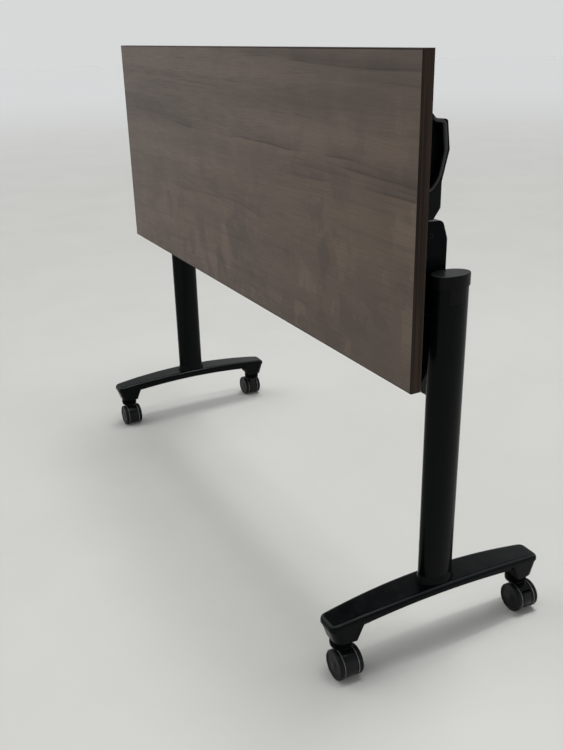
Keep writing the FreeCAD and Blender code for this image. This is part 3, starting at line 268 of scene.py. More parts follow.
def walnut_laminate():
    """Greyed walnut melamine: fibres along X, soft bands, upright bars of figure and a few dark veins."""
    finish = Finish("walnut_laminate", 0.46, Specular_IOR_Level=0.30)
    grain_place = drifting_grain(finish)
    across = finish.axis(finish.place, "X")
    height = finish.axis(finish.place, "Z")
    slope = finish.sums("SUBTRACT", finish.sums("MULTIPLY", across, WARM_SLANT), height)
    colour = broad_tones(finish, grain_place, slope)
    colour = upright_figure(finish, colour, slope)

    # Fibres: long streaks in some bands, short pores everywhere
    busy = finish.spread(finish.noise((1.3, 1.0, 9.0), detail=2.0), 0.38, 0.62, 0.15, 1.0)
    streaks = finish.noise((1.6, 1.0, 70.0), detail=4.0, roughness=0.65, place=grain_place)
    streak_mark = finish.sums("MULTIPLY", finish.spread(streaks, 0.36, 0.54, 0.36, 0.0), busy)
    colour = finish.blend(streak_mark, colour, PORE_TONE)
    fibres = finish.noise((16.0, 1.0, 520.0), detail=3.0, roughness=0.6, place=grain_place)
    colour = finish.blend(finish.spread(fibres, 0.34, 0.56, 0.22, 0.0), colour, PORE_TONE)
    for number, vein in enumerate(VEINS, start=1):
        colour = add_vein(finish, colour, number, vein, across, height)
    finish.paint(colour)
    finish.gloss(finish.spread(fibres, 0.3, 0.7, 0.52, 0.44))
    finish.relief(fibres, 0.08, 0.4)
    return finish.material


def walnut_edging():
    """Dark brown edge band with lines that run along each edge."""
    finish = Finish("walnut_edging", 0.42, Specular_IOR_Level=0.12)
    lines = finish.noise((2.0, 420.0, 2.0), detail=3.0)
    dark, light = (0.0135, 0.0078, 0.0054), (0.031, 0.0190, 0.0132)
    colour = finish.blend(finish.spread(lines, 0.35, 0.65), dark, light)
    broad = finish.noise((5.0, 110.0, 5.0), detail=2.0)
    colour = finish.blend(finish.spread(broad, 0.45, 0.7, 0.0, 0.5), colour, (0.046, 0.0285, 0.0195))
    finish.paint(colour)
    finish.gloss(finish.spread(lines, 0.3, 0.7, 0.48, 0.38))
    finish.relief(lines, 0.06, 0.4)
    return finish.material


def dark_backing():
    """The plain dark sheet on the board's back."""
    finish = Finish("dark_backing", 0.55)
    speck = finish.noise((420.0, 420.0, 420.0), detail=2.0)
    cloud = finish.noise((5.0, 5.0, 5.0), detail=3.0)
    colour = finish.blend(finish.spread(cloud, 0.3, 0.7), (0.026, 0.025, 0.024), (0.038, 0.036, 0.034))
    finish.paint(finish.blend(finish.spread(speck, 0.55, 0.75, 0.0, 0.5), colour, (0.060, 0.057, 0.053)))
    finish.relief(speck, 0.10, 0.4)
    return finish.material


def chipboard():
    """Pressed chips, seen only where a screw hole opens the board."""
    finish = Finish("chipboard", 0.8)
    chips = finish.noise((300.0, 120.0, 300.0), detail=3.0)
    finish.paint(finish.blend(finish.spread(chips, 0.3, 0.7), (0.26, 0.16, 0.08), (0.46, 0.33, 0.19)))
    finish.relief(chips, 0.3, 0.6)
    return finish.material


def upward_facing(finish):
    """How far a surface looks up: 1 on a level top, 0 on an upright side and -1 underneath."""
    coordinates = finish.tree.nodes.new("ShaderNodeTexCoord")
    return finish.axis(coordinates.outputs["Normal"], "Z")


DUST_AND_SHEEN_TONE = (0.110, 0.108, 0.102)


def dusted_and_sheened(finish, colour, amount):
    """Adds a thin uneven film of dust to the faces that look up; where it is heavy, as on the caps, it also
    stands for a painted reflection.
    """
    up = finish.spread(upward_facing(finish), 0.55, 1.0, 0.0, amount)
    patch = finish.spread(finish.noise((34.0, 34.0, 34.0), detail=5.0, roughness=0.7), 0.35, 0.75)
    return finish.blend(finish.sums("MULTIPLY", up, patch), colour, DUST_AND_SHEEN_TONE)


def powder_coat(name, painted_sheen_tone):
    """Black satin powder coat with fine orange peel: smoother where edges are rubbed and lighter there as a
    painted highlight, dusty where it faces up, and rough where it faces down and little coat reaches."""
    finish = Finish(name, 0.22, Specular_IOR_Level=0.085)
    peel = finish.noise((650.0, 650.0, 650.0), detail=2.0)
    cloud = finish.noise((9.0, 9.0, 9.0), detail=3.0)
    upward = upward_facing(finish)
    rubbed_edges_and_sheen = finish.sums("MULTIPLY", finish.spread(upward, 0.990, 0.93), finish.spread(upward, 0.60, 0.88))
    dark, light = (0.0007, 0.0015, 0.0017), (0.0012, 0.0022, 0.0024)
    colour = finish.blend(finish.spread(cloud, 0.3, 0.7), dark, light)
    # Painted highlight: the rounded edges are lightened towards the edge tone
    colour = finish.blend(rubbed_edges_and_sheen, colour, painted_sheen_tone)
    finish.paint(dusted_and_sheened(finish, colour, 0.05))
    satin = finish.spread(peel, 0.3, 0.7, 0.20, 0.27)
    satin = finish.sums("SUBTRACT", satin, finish.sums("MULTIPLY", rubbed_edges_and_sheen, 0.11))
    finish.gloss(finish.sums("ADD", satin, finish.spread(upward, -0.34, -0.41, 0.0, 0.65)))
    finish.relief(peel, 0.03, 0.35)
    return finish.material


# Half the width of a moulded seam at the bottom and at the top of its groove, in metres
SEAM_BOTTOM, SEAM_TOP = 0.0003, 0.0009


def moulding(name, dark, light, roughness, grain, shine=0.10, dust_and_sheen=0.04, seams=()):
    """Black moulded plastic with a fine spark-eroded texture; grain is its bumps per metre and seams are the
    heights in metres of fine grooves round it."""
    finish = Finish(name, roughness, Specular_IOR_Level=shine)
    texture = finish.noise((grain, grain, grain), detail=3.0, roughness=0.6)
    cloud = finish.noise((14.0, 14.0, 14.0), detail=3.0)
    colour = finish.blend(finish.spread(cloud, 0.3, 0.7), dark, light)
    finish.paint(dusted_and_sheened(finish, colour, dust_and_sheen))
    finish.gloss(finish.spread(texture, 0.3, 0.7, roughness - 0.06, roughness + 0.07))
    surface = finish.sums("MULTIPLY", texture, 0.05)
    height = finish.axis(finish.place, "Z")
    for level in seams:
        away = finish.sums("ABSOLUTE", finish.sums("SUBTRACT", height, level))
        groove = finish.spread(away, SEAM_BOTTOM, SEAM_TOP, 1.0, 0.0)
        surface = finish.sums("SUBTRACT", surface, groove)
    finish.relief(surface, 0.8, 0.6)
    return finish.material


def wheel_nylon():
    """Black nylon with grey scuffs."""
    finish = Finish("wheel_nylon", 0.36, Specular_IOR_Level=0.16)
    scuff = finish.noise((120.0, 120.0, 120.0), detail=5.0, roughness=0.7)
    black, grey = (0.0042, 0.0043, 0.0047), (0.017, 0.017, 0.018)
    colour = finish.blend(finish.spread(scuff, 0.52, 0.74, 0.0, 0.7), black, grey)
    finish.paint(dusted_and_sheened(finish, colour, 0.06))
    finish.gloss(finish.spread(scuff, 0.4, 0.7, 0.36, 0.60))
    finish.relief(scuff, 0.06, 0.5)
    return finish.material


def ring_plastic():
    """The pale grey ring that shows at each tread's inner edge."""
    finish = Finish("ring_plastic", 0.5)
    dirt = finish.noise((150.0, 150.0, 150.0), detail=4.0)
    finish.paint(finish.blend(finish.spread(dirt, 0.4, 0.7), (0.20, 0.21, 0.22), (0.095, 0.100, 0.105)))
    finish.relief(dirt, 0.05, 0.4)
    return finish.material


def zinc_plate():
    """Bright zinc with a faint brushed streak."""
    finish = Finish("zinc_plate", 0.34, metallic=1.0)
    streak = finish.noise((60.0, 900.0, 900.0), detail=3.0)
    finish.paint(finish.blend(finish.spread(streak, 0.3, 0.7), (0.46, 0.47, 0.48), (0.66, 0.66, 0.65)))
    finish.gloss(finish.spread(streak, 0.3, 0.7, 0.28, 0.44))
    finish.relief(streak, 0.03, 0.3)
    return finish.material


def white_nylon():
    """The pivot bushes' plain nylon."""
    finish = Finish("white_nylon", 0.5)
    cloud = finish.noise((90.0, 90.0, 90.0), detail=3.0)
    finish.paint(finish.blend(finish.spread(cloud, 0.3, 0.7), (0.66, 0.65, 0.60), (0.76, 0.75, 0.71)))
    finish.relief(cloud, 0.05, 0.3)
    return finish.material


def bumper_rubber():
    """The dull black rubber that the stop pins meet."""
    finish = Finish("bumper_rubber", 0.75)
    grain = finish.noise((500.0, 500.0, 500.0), detail=3.0)
    dark, light = (0.009, 0.009, 0.009), (0.018, 0.018, 0.018)
    finish.paint(finish.blend(finish.spread(grain, 0.3, 0.7), dark, light))
    finish.relief(grain, 0.1, 0.5)
    return finish.material


# Heights of the fine grooves round a hinge cover, in metres
COVER_SEAMS = (0.6945, 0.6430)
FINISHES = {
    "walnut_face": walnut_laminate(),
    "walnut_edge": walnut_edging(),
    "board_core": chipboard(),
    "underside": dark_backing(),
    # The powder coat's lighter tone on its rounded edges is a painted highlight
    "black_powder": powder_coat("powder_coat", (0.0240, 0.0251, 0.0268)),
    # The cap's heavy film on its top is partly dust and partly a painted reflection of the pale room
    "black_plastic": moulding("cap_moulding", (0.0022, 0.0026, 0.0028), (0.0034, 0.0038, 0.0042), 0.36,
                              900.0, dust_and_sheen=0.16),
    "cover_plastic": moulding("cover_moulding", (0.0004, 0.0010, 0.0018), (0.0009, 0.0018, 0.0029), 0.26,
                              1100.0, shine=0.05, seams=COVER_SEAMS),
    "caster_plastic": moulding("caster_moulding", (0.0022, 0.0026, 0.0030), (0.0038, 0.0042, 0.0048), 0.30,
                               900.0, shine=0.22),
    "wheel_black": wheel_nylon(),
    "zinc_steel": zinc_plate(),
    "nylon": white_nylon(),
    "bumper_rubber": bumper_rubber(),
}
RING_FINISH = ring_plastic()
# Painted shade: a near-black, matt finish for the neck rings, darker than the other blacks
SHADE_RING_FINISH = moulding("painted_shade_ring", (0.0004, 0.0005, 0.0006), (0.0008, 0.0009, 0.0010), 0.55, 900.0,
                       shine=0.03, dust_and_sheen=0.01)
# The weld's edge tone is close to the coat's own, so it gets hardly any painted highlight
WELD_FINISH = powder_coat("weld_coat", (0.0014, 0.0022, 0.0024))
BRACKET_FINISH = moulding("bracket_moulding", (0.0012, 0.0018, 0.0028), (0.0026, 0.0033, 0.0046), 0.34,
                          1000.0, shine=0.09)
# Painted highlight: the rim bead is the bracket's own plastic, coloured much lighter so that it reads as a
# lit rim
RIM_SHEEN_FINISH = moulding("rim_bead_painted_sheen", (0.0150, 0.0156, 0.0168), (0.0200, 0.0206, 0.0218), 0.40, 1000.0,
                       shine=0.40)


def dress_nodes():
    """Gives every CAD node its finish."""
    for entry in frame["record"]["subparts"]:
        shape = NODES[entry["node"]]
        shape.data.materials.clear()
        shape.data.materials.append(FINISHES[entry["material_slot"]])
    for side in SIDES:
        NODES["shelf_bracket_" + side].data.materials[0] = BRACKET_FINISH


# How wide the edges are rounded on the CAD nodes that would otherwise show knife edges
EDGE_ROUND = {
    "hinge_arm_left": 1.5, "hinge_arm_right": 1.5,
    "release_lever_left": 1.6, "release_lever_right": 1.6,
    "shelf_bracket_left": 3.2, "shelf_bracket_right": 3.2,
    "tilt_bracket_left": 0.5, "tilt_bracket_right": 0.5,
    "beam_flange_left": 0.8, "beam_flange_right": 0.8,
    "brake_pedal_right_rear": 1.2, "brake_pedal_left_rear": 1.2,
    "stop_pins": 0.5, "release_shaft": 0.5,
    "caster_hood_right_front": 0.8, "caster_hood_right_rear": 0.8,
    "caster_hood_left_front": 0.8, "caster_hood_left_rear": 0.8,
}
# Edges that turn by more than this many degrees are rounded on CAD nodes, or drawn sharp on new pieces
ROUND_ANGLE, SHARP_ANGLE = 38, 40


def soften_edges():
    for name, width in EDGE_ROUND.items():
        shape = NODES[name]
        weld = shape.modifiers.new("joined", "WELD")
        weld.merge_threshold = CAD_MERGE
        bevel = shape.modifiers.new("softened", "BEVEL")
        bevel.width = width * MM
        bevel.segments = 4
        bevel.profile = 0.5
        bevel.limit_method = "ANGLE"
        bevel.angle_limit = math.radians(ROUND_ANGLE)
        bevel.harden_normals = True


# New pieces
def finished(name, mesh, body, finish):
    """Turns a bmesh in metres into a piece that rides on a body."""
    bmesh.ops.remove_doubles(mesh, verts=mesh.verts, dist=MERGE)
    bmesh.ops.recalc_face_normals(mesh, faces=mesh.faces)
    data = bpy.data.meshes.new(name)
    mesh.to_mesh(data)
    mesh.free()
    data.materials.append(finish)
    for face in data.polygons:
        face.use_smooth = True
    data.set_sharp_from_angle(angle=math.radians(SHARP_ANGLE))
    piece = bpy.data.objects.new(name, data)
    bpy.context.scene.collection.objects.link(piece)
    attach(piece, body)
    return piece


def edges_of(verts):
    """The edges that meet at these vertices, each of them once."""
    return list(dict.fromkeys(edge for vert in verts for edge in vert.link_edges))


def turned(profile, centre, side):
    """Spins a profile of (radius, depth) pairs round a wheel's axis, depth counted towards its outer side."""
    mesh = bmesh.new()
    row = []
    for radius, depth in profile:
        row.append(mesh.verts.new((centre + Vector((radius, side * depth, 0.0))) * MM))
    edges = [mesh.edges.new(pair) for pair in zip(row, row[1:])]
    bmesh.ops.spin(mesh, geom=row + edges, cent=centre * MM, axis=(0, 1, 0), angle=2 * math.pi,
                   steps=WHEEL_STEPS, use_merge=True)
    return mesh


# The axle's bore in a wheel: its radius, and how far short of the wheel's outer side it ends
AXLE_BORE, BORE_END = 3.2, 2.0


def wheel_profile(radius, width):
    """From the axle's bore round the tread to the dished disc and its middle button."""
    bore = [
        (0.0, width - BORE_END), (AXLE_BORE, width - BORE_END), (AXLE_BORE, 0.4), (AXLE_BORE + 0.4, 0.0),
    ]
    groove = [
        (radius - 3.0, 0.0), (radius - 1.4, 0.25), (radius - 0.7, 0.8), (radius - 0.7, 1.9),
        (radius - 0.25, 2.1),
    ]
    tread = [
        (radius, 2.6), (radius, width - 2.6), (radius - 0.35, width - 1.5), (radius - 1.1, width - 0.6),
        (radius - 2.0, width - 0.15), (radius - 2.8, width), (radius - 3.8, width),
    ]
    disc = [
        (radius - 4.2, width - 0.2), (radius - 4.5, width - 0.8), (radius - 4.9, width - 1.2),
        (radius - 5.8, width - 1.4), (11.0, width - 0.9),
    ]
    button = [(7.4, width - 0.8), (7.0, width - 0.4), (6.2, width - 0.2), (0.0, width - 0.2)]
    return bore + groove + tread + disc + button


def ring_profile(radius):
    """All the way round the ring's cross-section, which lies in the groove of the wheel's profile."""
    return [
        (radius - 1.2, 0.85), (radius - 0.3, 0.85), (radius - 0.08, 1.0), (radius - 0.02, 1.3),
        (radius - 0.02, 1.7), (radius - 0.1, 1.95), (radius - 1.2, 1.95), (radius - 1.2, 0.85),
    ]


def wheels():
    """Dished wheels with a pale ring at the tread's inner edge."""
    for tag in CASTERS:
        for end, side in (("front", -1), ("rear", 1)):
            name = "wheel_%s_%s" % (tag, end)
            low, high = node_box(name)
            inner = low.y if side > 0 else high.y
            radius = (high.z - low.z) / 2
            centre = Vector(((low.x + high.x) / 2, inner, (low.z + high.z) / 2))
            disc = turned(wheel_profile(radius, high.y - low.y), centre, side)
            wheel = finished(name + "_turned", disc, name, FINISHES["wheel_black"])
            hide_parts(name)
            ring = turned(ring_profile(radius), centre, side)
            finished(name + "_ring", ring, name, RING_FINISH)


# How far the weld's rings stand out from the post and up from the foot
WELD_RINGS = ((3.9, -1.0), (3.4, 0.3), (2.5, 1.4), (1.7, 3.0), (1.0, 5.2), (0.5, 8.0), (0.15, 11.0),
              (0.03, 13.6), (-0.3, 13.9))


def weld_beads():
    """The flared weld round each post where it stands on its foot."""
    for side in SIDES:
        low, high = node_box("post_" + side)
        middle = (low + high) / 2
        half = (high - low) / 2
        crest = node_box("foot_" + side)[1].z
        mesh = bmesh.new()
        loops = []
        for grow, lift in WELD_RINGS:
            ring = bmesh.ops.create_circle(mesh, segments=WELD_STEPS, radius=1.0)["verts"]
            bmesh.ops.scale(mesh, verts=ring, vec=((half.x + grow) * MM, (half.y + grow) * MM, 1.0))
            bmesh.ops.translate(mesh, verts=ring, vec=Vector((middle.x, middle.y, crest + lift)) * MM)
            loops.append(edges_of(ring))
        for lower, upper in zip(loops, loops[1:] + loops[:1]):
            bmesh.ops.bridge_loops(mesh, edges=lower + upper)
        finished("post_weld_" + side, mesh, "frame", WELD_FINISH)


# A near-black ring round each caster's neck under its block, standing for the shade in the gap there (painted
# shade):
# how far it stands out from the neck, how far it reaches down over the neck and how far above it, and how
# much its rims are rounded
SHADE_RING_PROUD, SHADE_RING_DOWN, SHADE_RING_UP, SHADE_RING_ROUND = 0.5, 12.0, 1.5, 0.5
# The ring's rims turn by more than this angle in radians, and its facets by less
RIM_ANGLE = 1.0


def neck_shade_rings():
    for tag in CASTERS:
        stem_low, stem_high = node_box("caster_stem_" + tag)
        hood_low, hood_high = node_box("caster_hood_" + tag)
        axis = (stem_low + stem_high) / 2
        radius = (hood_high.y - hood_low.y) / 2 + SHADE_RING_PROUD
        height = SHADE_RING_DOWN + SHADE_RING_UP
        middle = Vector((axis.x, axis.y, hood_high.z + (SHADE_RING_UP - SHADE_RING_DOWN) / 2))
        mesh = bmesh.new()
        bmesh.ops.create_cone(mesh, cap_ends=True, segments=WHEEL_STEPS, radius1=radius * MM,
                              radius2=radius * MM, depth=height * MM, matrix=Matrix.Translation(middle * MM))
        rims = [edge for edge in mesh.edges if edge.calc_face_angle() > RIM_ANGLE]
        bmesh.ops.bevel(mesh, geom=rims, offset=SHADE_RING_ROUND * MM, segments=3, profile=0.5, affect="EDGES",
                        material=-1)
        finished("neck_shade_ring_" + tag, mesh, "caster_" + tag, SHADE_RING_FINISH)


def swept(points):
    """A round bar through these (place, radius) points, in millimetres, closed at both ends."""
    mesh = bmesh.new()
    loops = []
    places = [place for place, radius in points]
    last = len(points) - 1
    for number, (place, radius) in enumerate(points):
        ahead = places[min(number + 1, last)] - places[max(number - 1, 0)]
        turn = ahead.to_track_quat("Z", "X").to_matrix().to_4x4()
        ring = bmesh.ops.create_circle(mesh, segments=BEAD_STEPS, radius=radius * MM,
                                       cap_ends=number in (0, last),
                                       matrix=Matrix.Translation(place * MM) @ turn)["verts"]
        loops.append(edges_of(ring))
    for lower, upper in zip(loops, loops[1:]):
        bmesh.ops.bridge_loops(mesh, edges=lower + upper)
    return mesh


# The bead round a shelf bracket's recess, from its top to its lower end: distance from the bracket's side
# next to the board, height over the bracket's lowest point, and radius
RIM_BEAD = (
    (58.0, 139.0, 1.8), (63.5, 134.9, 2.0), (74.5, 133.6, 2.4), (77.6, 131.4, 3.0), (78.8, 127.0, 3.5),
    (80.0, 117.0, 3.6), (81.9, 99.5, 3.6), (82.0, 95.0, 3.4), (81.0, 89.5, 3.0), (75.2, 66.0, 2.5),
    (73.2, 60.0, 2.3), (68.8, 52.0, 2.1), (61.0, 43.2, 1.9), (54.0, 41.0, 1.8), (12.0, 36.8, 1.7),
)
BEAD_PROUD = 1.5


def rim_beads():
    """A rounded bead that stands a little proud of each shelf bracket's rim, coloured much lighter than the
    bracket as a painted highlight.
    """
    for side, outward in SIDES.items():
        low, high = node_box("shelf_bracket_" + side)
        face = high.x if outward > 0 else low.x
        points = []
        for back, rise, radius in RIM_BEAD:
            place = Vector((face + outward * (BEAD_PROUD - radius), low.y + back, low.z + rise))
            points.append((place, radius))
        finished("rim_bead_" + side, swept(points), "top", RIM_SHEEN_FINISH)


def add_socket_screw(mesh, top, turn, profile, socket, depth):
    """Adds a screw with a hexagon socket. Its profile of (radius, height) pairs runs from the socket's rim
    down to the tip, heights counted from the top of the head, and turn sets where the head points."""
    place = Matrix.Translation(top * MM) @ turn.to_4x4() @ Matrix.Scale(MM, 4)
    row = [mesh.verts.new(place @ Vector((radius, 0.0, height))) for radius, height in profile]
    edges = [mesh.edges.new(pair) for pair in zip(row, row[1:])]
    axis = turn @ Vector((0.0, 0.0, 1.0))
    bmesh.ops.spin(mesh, geom=row + edges, cent=top * MM, axis=axis, angle=2 * math.pi, steps=SCREW_STEPS,
                   use_merge=True)
    bmesh.ops.remove_doubles(mesh, verts=mesh.verts, dist=MERGE)
    rim = [edge for edge in mesh.edges if edge.is_boundary]
    flat = place @ Matrix.Translation((0.0, 0.0, profile[0][1]))
    hexagon = bmesh.ops.create_circle(mesh, segments=6, radius=socket, matrix=flat)["verts"]
    mouth = edges_of(hexagon)
    bmesh.ops.bridge_loops(mesh, edges=rim + mouth)
    walls = bmesh.ops.extrude_edge_only(mesh, edges=mouth)["geom"]
    floor = [piece for piece in walls if isinstance(piece, bmesh.types.BMVert)]
    bmesh.ops.translate(mesh, verts=floor, vec=axis * -depth * MM)
    bmesh.ops.contextual_create(mesh, geom=floor)


def merge_into(mesh, part):
    """Moves a finished bmesh into another one."""
    carrier = bpy.data.meshes.new("carrier")
    part.to_mesh(carrier)
    part.free()
    mesh.from_mesh(carrier)
    bpy.data.meshes.remove(carrier)


def solid_boxes(name):
    """The lowest and highest corners, in millimetres, of each separate solid in a CAD node."""
    mesh = bmesh.new()
    mesh.from_mesh(NODES[name].data)
    bmesh.ops.remove_doubles(mesh, verts=mesh.verts, dist=CAD_MERGE)
    waiting = dict.fromkeys(mesh.verts)
    boxes = []
    while waiting:
        reached = [waiting.popitem()[0]]
        for vert in reached:
            for edge in vert.link_edges:
                neighbour = edge.other_vert(vert)
                if neighbour in waiting:
                    del waiting[neighbour]
                    reached.append(neighbour)
        low = Vector(min(vert.co[axis] for vert in reached) for axis in range(3)) / MM
        high = Vector(max(vert.co[axis] for vert in reached) for axis in range(3)) / MM
        boxes.append((low, high))
    mesh.free()
    return boxes


# A cover's screw: how far behind the cover's front and under its top it sits, its radius, how far its head
# stands proud of the cover and how deep its socket is
COVER_SCREW_BACK, COVER_SCREW_DROP, COVER_SCREW_RADIUS = 60.0, 21.0, 3.6
COVER_SCREW_PROUD, COVER_SOCKET_DEPTH = 0.9, 0.8


def cover_screws():
    """The small black screw in the outer face of each hinge cover."""
    radius = COVER_SCREW_RADIUS
    profile = [
        (radius * 0.52, 0.0), (radius * 0.80, -0.2), (radius * 0.95, -0.6), (radius, -1.2), (0.0, -1.4),
    ]
    for side, outward in SIDES.items():
        low, high = node_box("hinge_cover_" + side)
        head = (high.x if outward > 0 else low.x) + outward * COVER_SCREW_PROUD
        top = Vector((head, low.y + COVER_SCREW_BACK, high.z - COVER_SCREW_DROP))
        outwards = Matrix.Rotation(math.radians(outward * 90), 3, "Y")
        mesh = bmesh.new()
        add_socket_screw(mesh, top, outwards, profile, radius * 0.42, COVER_SOCKET_DEPTH)
        finished("cover_screw_" + side, mesh, "top", FINISHES["black_plastic"])


# A button head's height and the depth of its socket
BUTTON_HEAD, BUTTON_SOCKET_DEPTH = 2.2, 1.3


def button_profile(radius, length):
    """A button head on a pointed shank of about half its radius."""
    return [
        (radius * 0.52, 0.0), (radius * 0.66, -0.12), (radius * 0.84, -0.55), (radius * 0.96, -1.2),
        (radius, -1.8), (radius, -BUTTON_HEAD), (radius * 0.48, -BUTTON_HEAD), (radius * 0.48, 1.0 - length),
        (0.0, -length),
    ]


def screws():
    """Button-head socket screws in the tilt brackets and the shelf brackets."""
    backwards = Matrix.Rotation(math.radians(-90), 3, "X")
    for name in ("bracket_screws", "shelf_screws"):
        mesh = bmesh.new()
        for low, high in solid_boxes(name):
            radius = (high.x - low.x) / 2
            top = Vector(((low.x + high.x) / 2, high.y, (low.z + high.z) / 2))
            profile = button_profile(radius, high.y - low.y)
            part = bmesh.new()
            add_socket_screw(part, top, backwards, profile, radius * 0.40, BUTTON_SOCKET_DEPTH)
            merge_into(mesh, part)
        piece = finished(name + "_turned", mesh, "top", FINISHES["zinc_steel"])
        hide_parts(name)


# A cap bolt's height of head, radius of shank and depth of socket
BOLT_HEAD, BOLT_SHANK, BOLT_SOCKET_DEPTH = 8.0, 4.0, 4.0


def cap_profile(radius, length):
    """A straight-sided cap head on a shank that narrows at its tip."""
    return [
        (radius * 0.70, 0.0), (radius * 0.90, 0.0), (radius * 0.97, -0.25), (radius, -0.8),
        (radius, -BOLT_HEAD), (BOLT_SHANK, -BOLT_HEAD), (BOLT_SHANK, 1.0 - length),
        (BOLT_SHANK * 0.75, -length), (0.0, -length),
    ]


def cap_bolts():
    """Socket cap bolts through the beam's flanges, with their heads towards the middle of the table."""
    mesh = bmesh.new()
    for low, high in solid_boxes("arm_bolts"):
        side = 1 if low.x > 0 else -1
        radius = (high.z - low.z) / 2
        length = high.x - low.x
        middle = (low + high) / 2
        top = Vector((middle.x - side * length / 2, middle.y, middle.z))
        inwards = Matrix.Rotation(math.radians(-90 * side), 3, "Y")
        part = bmesh.new()
        add_socket_screw(part, top, inwards, cap_profile(radius, length), radius * 0.55, BOLT_SOCKET_DEPTH)
        merge_into(mesh, part)
    piece = finished("arm_bolts_turned", mesh, "frame", FINISHES["zinc_steel"])
    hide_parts("arm_bolts")


def add_bar(mesh, centre, turn, sizes, rounding):
    """Adds a rounded bar with these three sizes in millimetres, turned about its centre."""
    place = Matrix.Translation(Vector(centre) * MM) @ turn.to_4x4()
    shape = Matrix.Diagonal((*(Vector(sizes) * MM), 1.0))
    made = bmesh.ops.create_cube(mesh, size=1.0, matrix=place @ shape)
    bmesh.ops.bevel(mesh, geom=edges_of(made["verts"]), offset=rounding * MM, segments=3, profile=0.5,
                    affect="EDGES", material=-1)


# Raised bars across a brake pedal: how far up from the axle's level they lie, in degrees, and how long they
# are; then their thickness, width and rounding, and how far inside the wheel's radius their middle lies
PEDAL_BARS = ((34.0, 3.6), (-30.0, 2.6))
BAR_THICK, BAR_WIDE, BAR_ROUND, BAR_INSIDE = 2.2, 15.0, 0.8, 1.7


def pedal_bars():
    for tag in BRAKED_CASTERS:
        name = "brake_pedal_" + tag
        low, high = node_box(name)
        wheel_low, wheel_high = node_box("wheel_%s_front" % tag)
        axle = (wheel_low + wheel_high) / 2
        reach = (wheel_high.z - wheel_low.z) / 2 - BAR_INSIDE
        outward = 1 if (low.x + high.x) / 2 > axle.x else -1
        mesh = bmesh.new()
        for degrees, length in PEDAL_BARS:
            angle = math.radians(degrees)
            centre = (axle.x + outward * reach * math.cos(angle), (low.y + high.y) / 2,
                      axle.z + reach * math.sin(angle))
            lean = Matrix.Rotation(-outward * angle, 3, "Y")
            add_bar(mesh, centre, lean, (BAR_THICK, BAR_WIDE, length), BAR_ROUND)
        finished(name + "_bars", mesh, name, FINISHES["caster_plastic"])


# Ribs across the back of a lever's grip: their number, the first one's distance from the grip's back and top,
# the step from one to the next, how much narrower than the lever they are, their depth, height and rounding
GRIP_RIBS = 6
RIB_IN, RIB_DOWN = 0.4, 5.0
RIB_STEP_IN, RIB_STEP_DOWN = 0.62, 5.2
RIB_NARROWER, RIB_DEPTH, RIB_HEIGHT, RIB_ROUND = 8.0, 1.6, 2.2, 0.6


def grip_ribs():
    for side in SIDES:
        name = "release_lever_" + side
        low, high = node_box(name)
        sizes = (high.x - low.x - RIB_NARROWER, RIB_DEPTH, RIB_HEIGHT)
        mesh = bmesh.new()
        for number in range(GRIP_RIBS):
            centre = ((low.x + high.x) / 2, high.y - RIB_IN - RIB_STEP_IN * number,
                      high.z - RIB_DOWN - RIB_STEP_DOWN * number)
            add_bar(mesh, centre, Matrix.Identity(3), sizes, RIB_ROUND)
        finished(name + "_ribs", mesh, "release", FINISHES["black_plastic"])


dress_nodes()
soften_edges()
wheels()
weld_beads()
neck_shade_rings()
rim_beads()
cover_screws()
screws()
cap_bolts()
pedal_bars()
grip_ribs()

# Studio: the round floor's radius in metres and its facets, the distances in metres between which it lightens
# to the walls' tone, and its tones
FLOOR_RADIUS, FLOOR_STEPS = 30.0, 180
FADE_START, FADE_END = 3.0, 14.0
FLOOR_DARK, FLOOR_LIGHT, FLOOR_FAR = (0.625, 0.618, 0.588), (0.650, 0.643, 0.613), (0.765, 0.772, 0.768)


def studio():
    """A plain pale floor that grows as light as the walls far away."""
    finish = Finish("studio_floor", 0.8, Specular_IOR_Level=0.2)
    mottle = finish.noise((2.2, 2.2, 2.2), detail=6.0, roughness=0.6)
    near = finish.blend(finish.spread(mottle, 0.3, 0.7), FLOOR_DARK, FLOOR_LIGHT)
    distance = finish.tree.nodes.new("ShaderNodeVectorMath")
    distance.operation = "LENGTH"
    finish.join(finish.place, distance.inputs[0])
    far = finish.spread(distance.outputs["Value"], FADE_START, FADE_END)
    finish.paint(finish.blend(far, near, FLOOR_FAR))
    mesh = bmesh.new()
    bmesh.ops.create_circle(mesh, cap_ends=True, segments=FLOOR_STEPS, radius=FLOOR_RADIUS)
    data = bpy.data.meshes.new("floor")
    mesh.to_mesh(data)
    mesh.free()
    data.materials.append(finish.material)
    floor = bpy.data.objects.new("floor", data)
    bpy.context.scene.collection.objects.link(floor)


WALL_TONE, CEILING_TONE = (0.68, 0.69, 0.69, 1.0), (0.24, 0.25, 0.26, 1.0)


def room():
    """Pale walls all round the table and a dimmer ceiling between the lamps."""
    world = bpy.data.worlds.new("studio")
    world.use_nodes = True
    tree = world.node_tree
    place = tree.nodes.new("ShaderNodeTexCoord")
    parts = tree.nodes.new("ShaderNodeSeparateXYZ")
    tree.links.new(place.outputs["Generated"], parts.inputs["Vector"])
    rise = tree.nodes.new("ShaderNodeMapRange")
    rise.interpolation_type = "SMOOTHSTEP"
    rise.inputs["From Min"].default_value = 0.20
    rise.inputs["From Max"].default_value = 0.75
    tree.links.new(parts.outputs["Z"], rise.inputs["Value"])
    shade = tree.nodes.new("ShaderNodeMix")
    shade.data_type = "RGBA"
    shade.inputs[MIX_FIRST].default_value = WALL_TONE
    shade.inputs[MIX_SECOND].default_value = CEILING_TONE
    tree.links.new(rise.outputs["Result"], shade.inputs["Factor"])
    tree.links.new(shade.outputs[MIX_RESULT], tree.nodes["Background"].inputs["Color"])
    bpy.context.scene.world = world
    bpy.context.scene.view_settings.view_transform = "Standard"


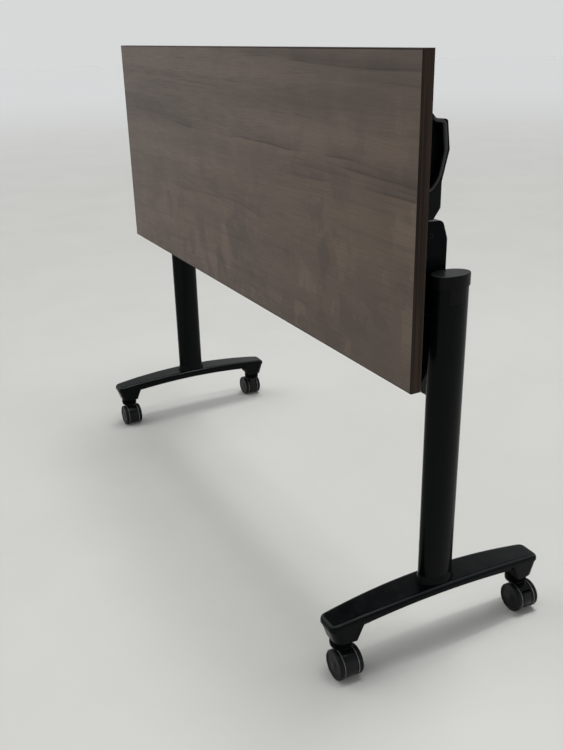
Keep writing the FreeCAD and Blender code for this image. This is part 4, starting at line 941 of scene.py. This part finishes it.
def soft_light(name, come_from, spread_degrees, strength):
    """A wide even light from one direction, so the floor keeps one tone to its far end."""
    lamp = bpy.data.lights.new(name, "SUN")
    lamp.angle = math.radians(spread_degrees)
    lamp.energy = strength
    holder = bpy.data.objects.new(name, lamp)
    holder.rotation_euler = (-Vector(come_from)).to_track_quat("-Z", "Y").to_euler()
    bpy.context.scene.collection.objects.link(holder)


def tube_lamp(middle, length, width, watts):
    """A long ceiling tube along Y, for the fine glints along the feet and caps."""
    lamp = bpy.data.lights.new("tube", "AREA")
    lamp.shape = "RECTANGLE"
    lamp.size = width
    lamp.size_y = length
    lamp.energy = watts
    holder = bpy.data.objects.new("tube", lamp)
    holder.location = middle
    bpy.context.scene.collection.objects.link(holder)


# The photograph's viewpoint, found from the worktop's corners, the feet and the casters: the camera's turns
# in radians, its place in metres, its lens and sensor, and how far it sees in metres
YAW, PITCH, ROLL = -1.104, -0.385, -0.0237
CAMERA_PLACE = (1.48294, -0.74673, 0.95834)
LENS, SENSOR, SIGHT = 40.62, 36.0, 100.0


def camera():
    ahead = Vector((math.cos(PITCH) * math.sin(YAW), math.cos(PITCH) * math.cos(YAW), math.sin(PITCH)))
    right = Vector((math.cos(YAW), -math.sin(YAW), 0.0))
    up = right.cross(ahead)
    across = math.cos(ROLL) * right + math.sin(ROLL) * up
    upward = math.cos(ROLL) * up - math.sin(ROLL) * right
    lens = bpy.data.cameras.new("viewpoint")
    lens.sensor_width = SENSOR
    lens.lens = LENS
    lens.clip_end = SIGHT
    holder = bpy.data.objects.new("viewpoint", lens)
    turn = Matrix((across, upward, -ahead)).transposed()
    holder.matrix_world = Matrix.Translation(CAMERA_PLACE) @ turn.to_4x4()
    bpy.context.scene.collection.objects.link(holder)
    bpy.context.scene.camera = holder


studio()
room()
soft_light("ceiling", come_from=(-0.10, 0.20, 1.0), spread_degrees=24.0, strength=1.20)
tube_lamp(middle=(0.36, 0.30, 2.8), length=1.6, width=0.07, watts=16.0)
soft_light("front", come_from=(-0.7, -1.0, 0.9), spread_degrees=60.0, strength=0.86)
camera()
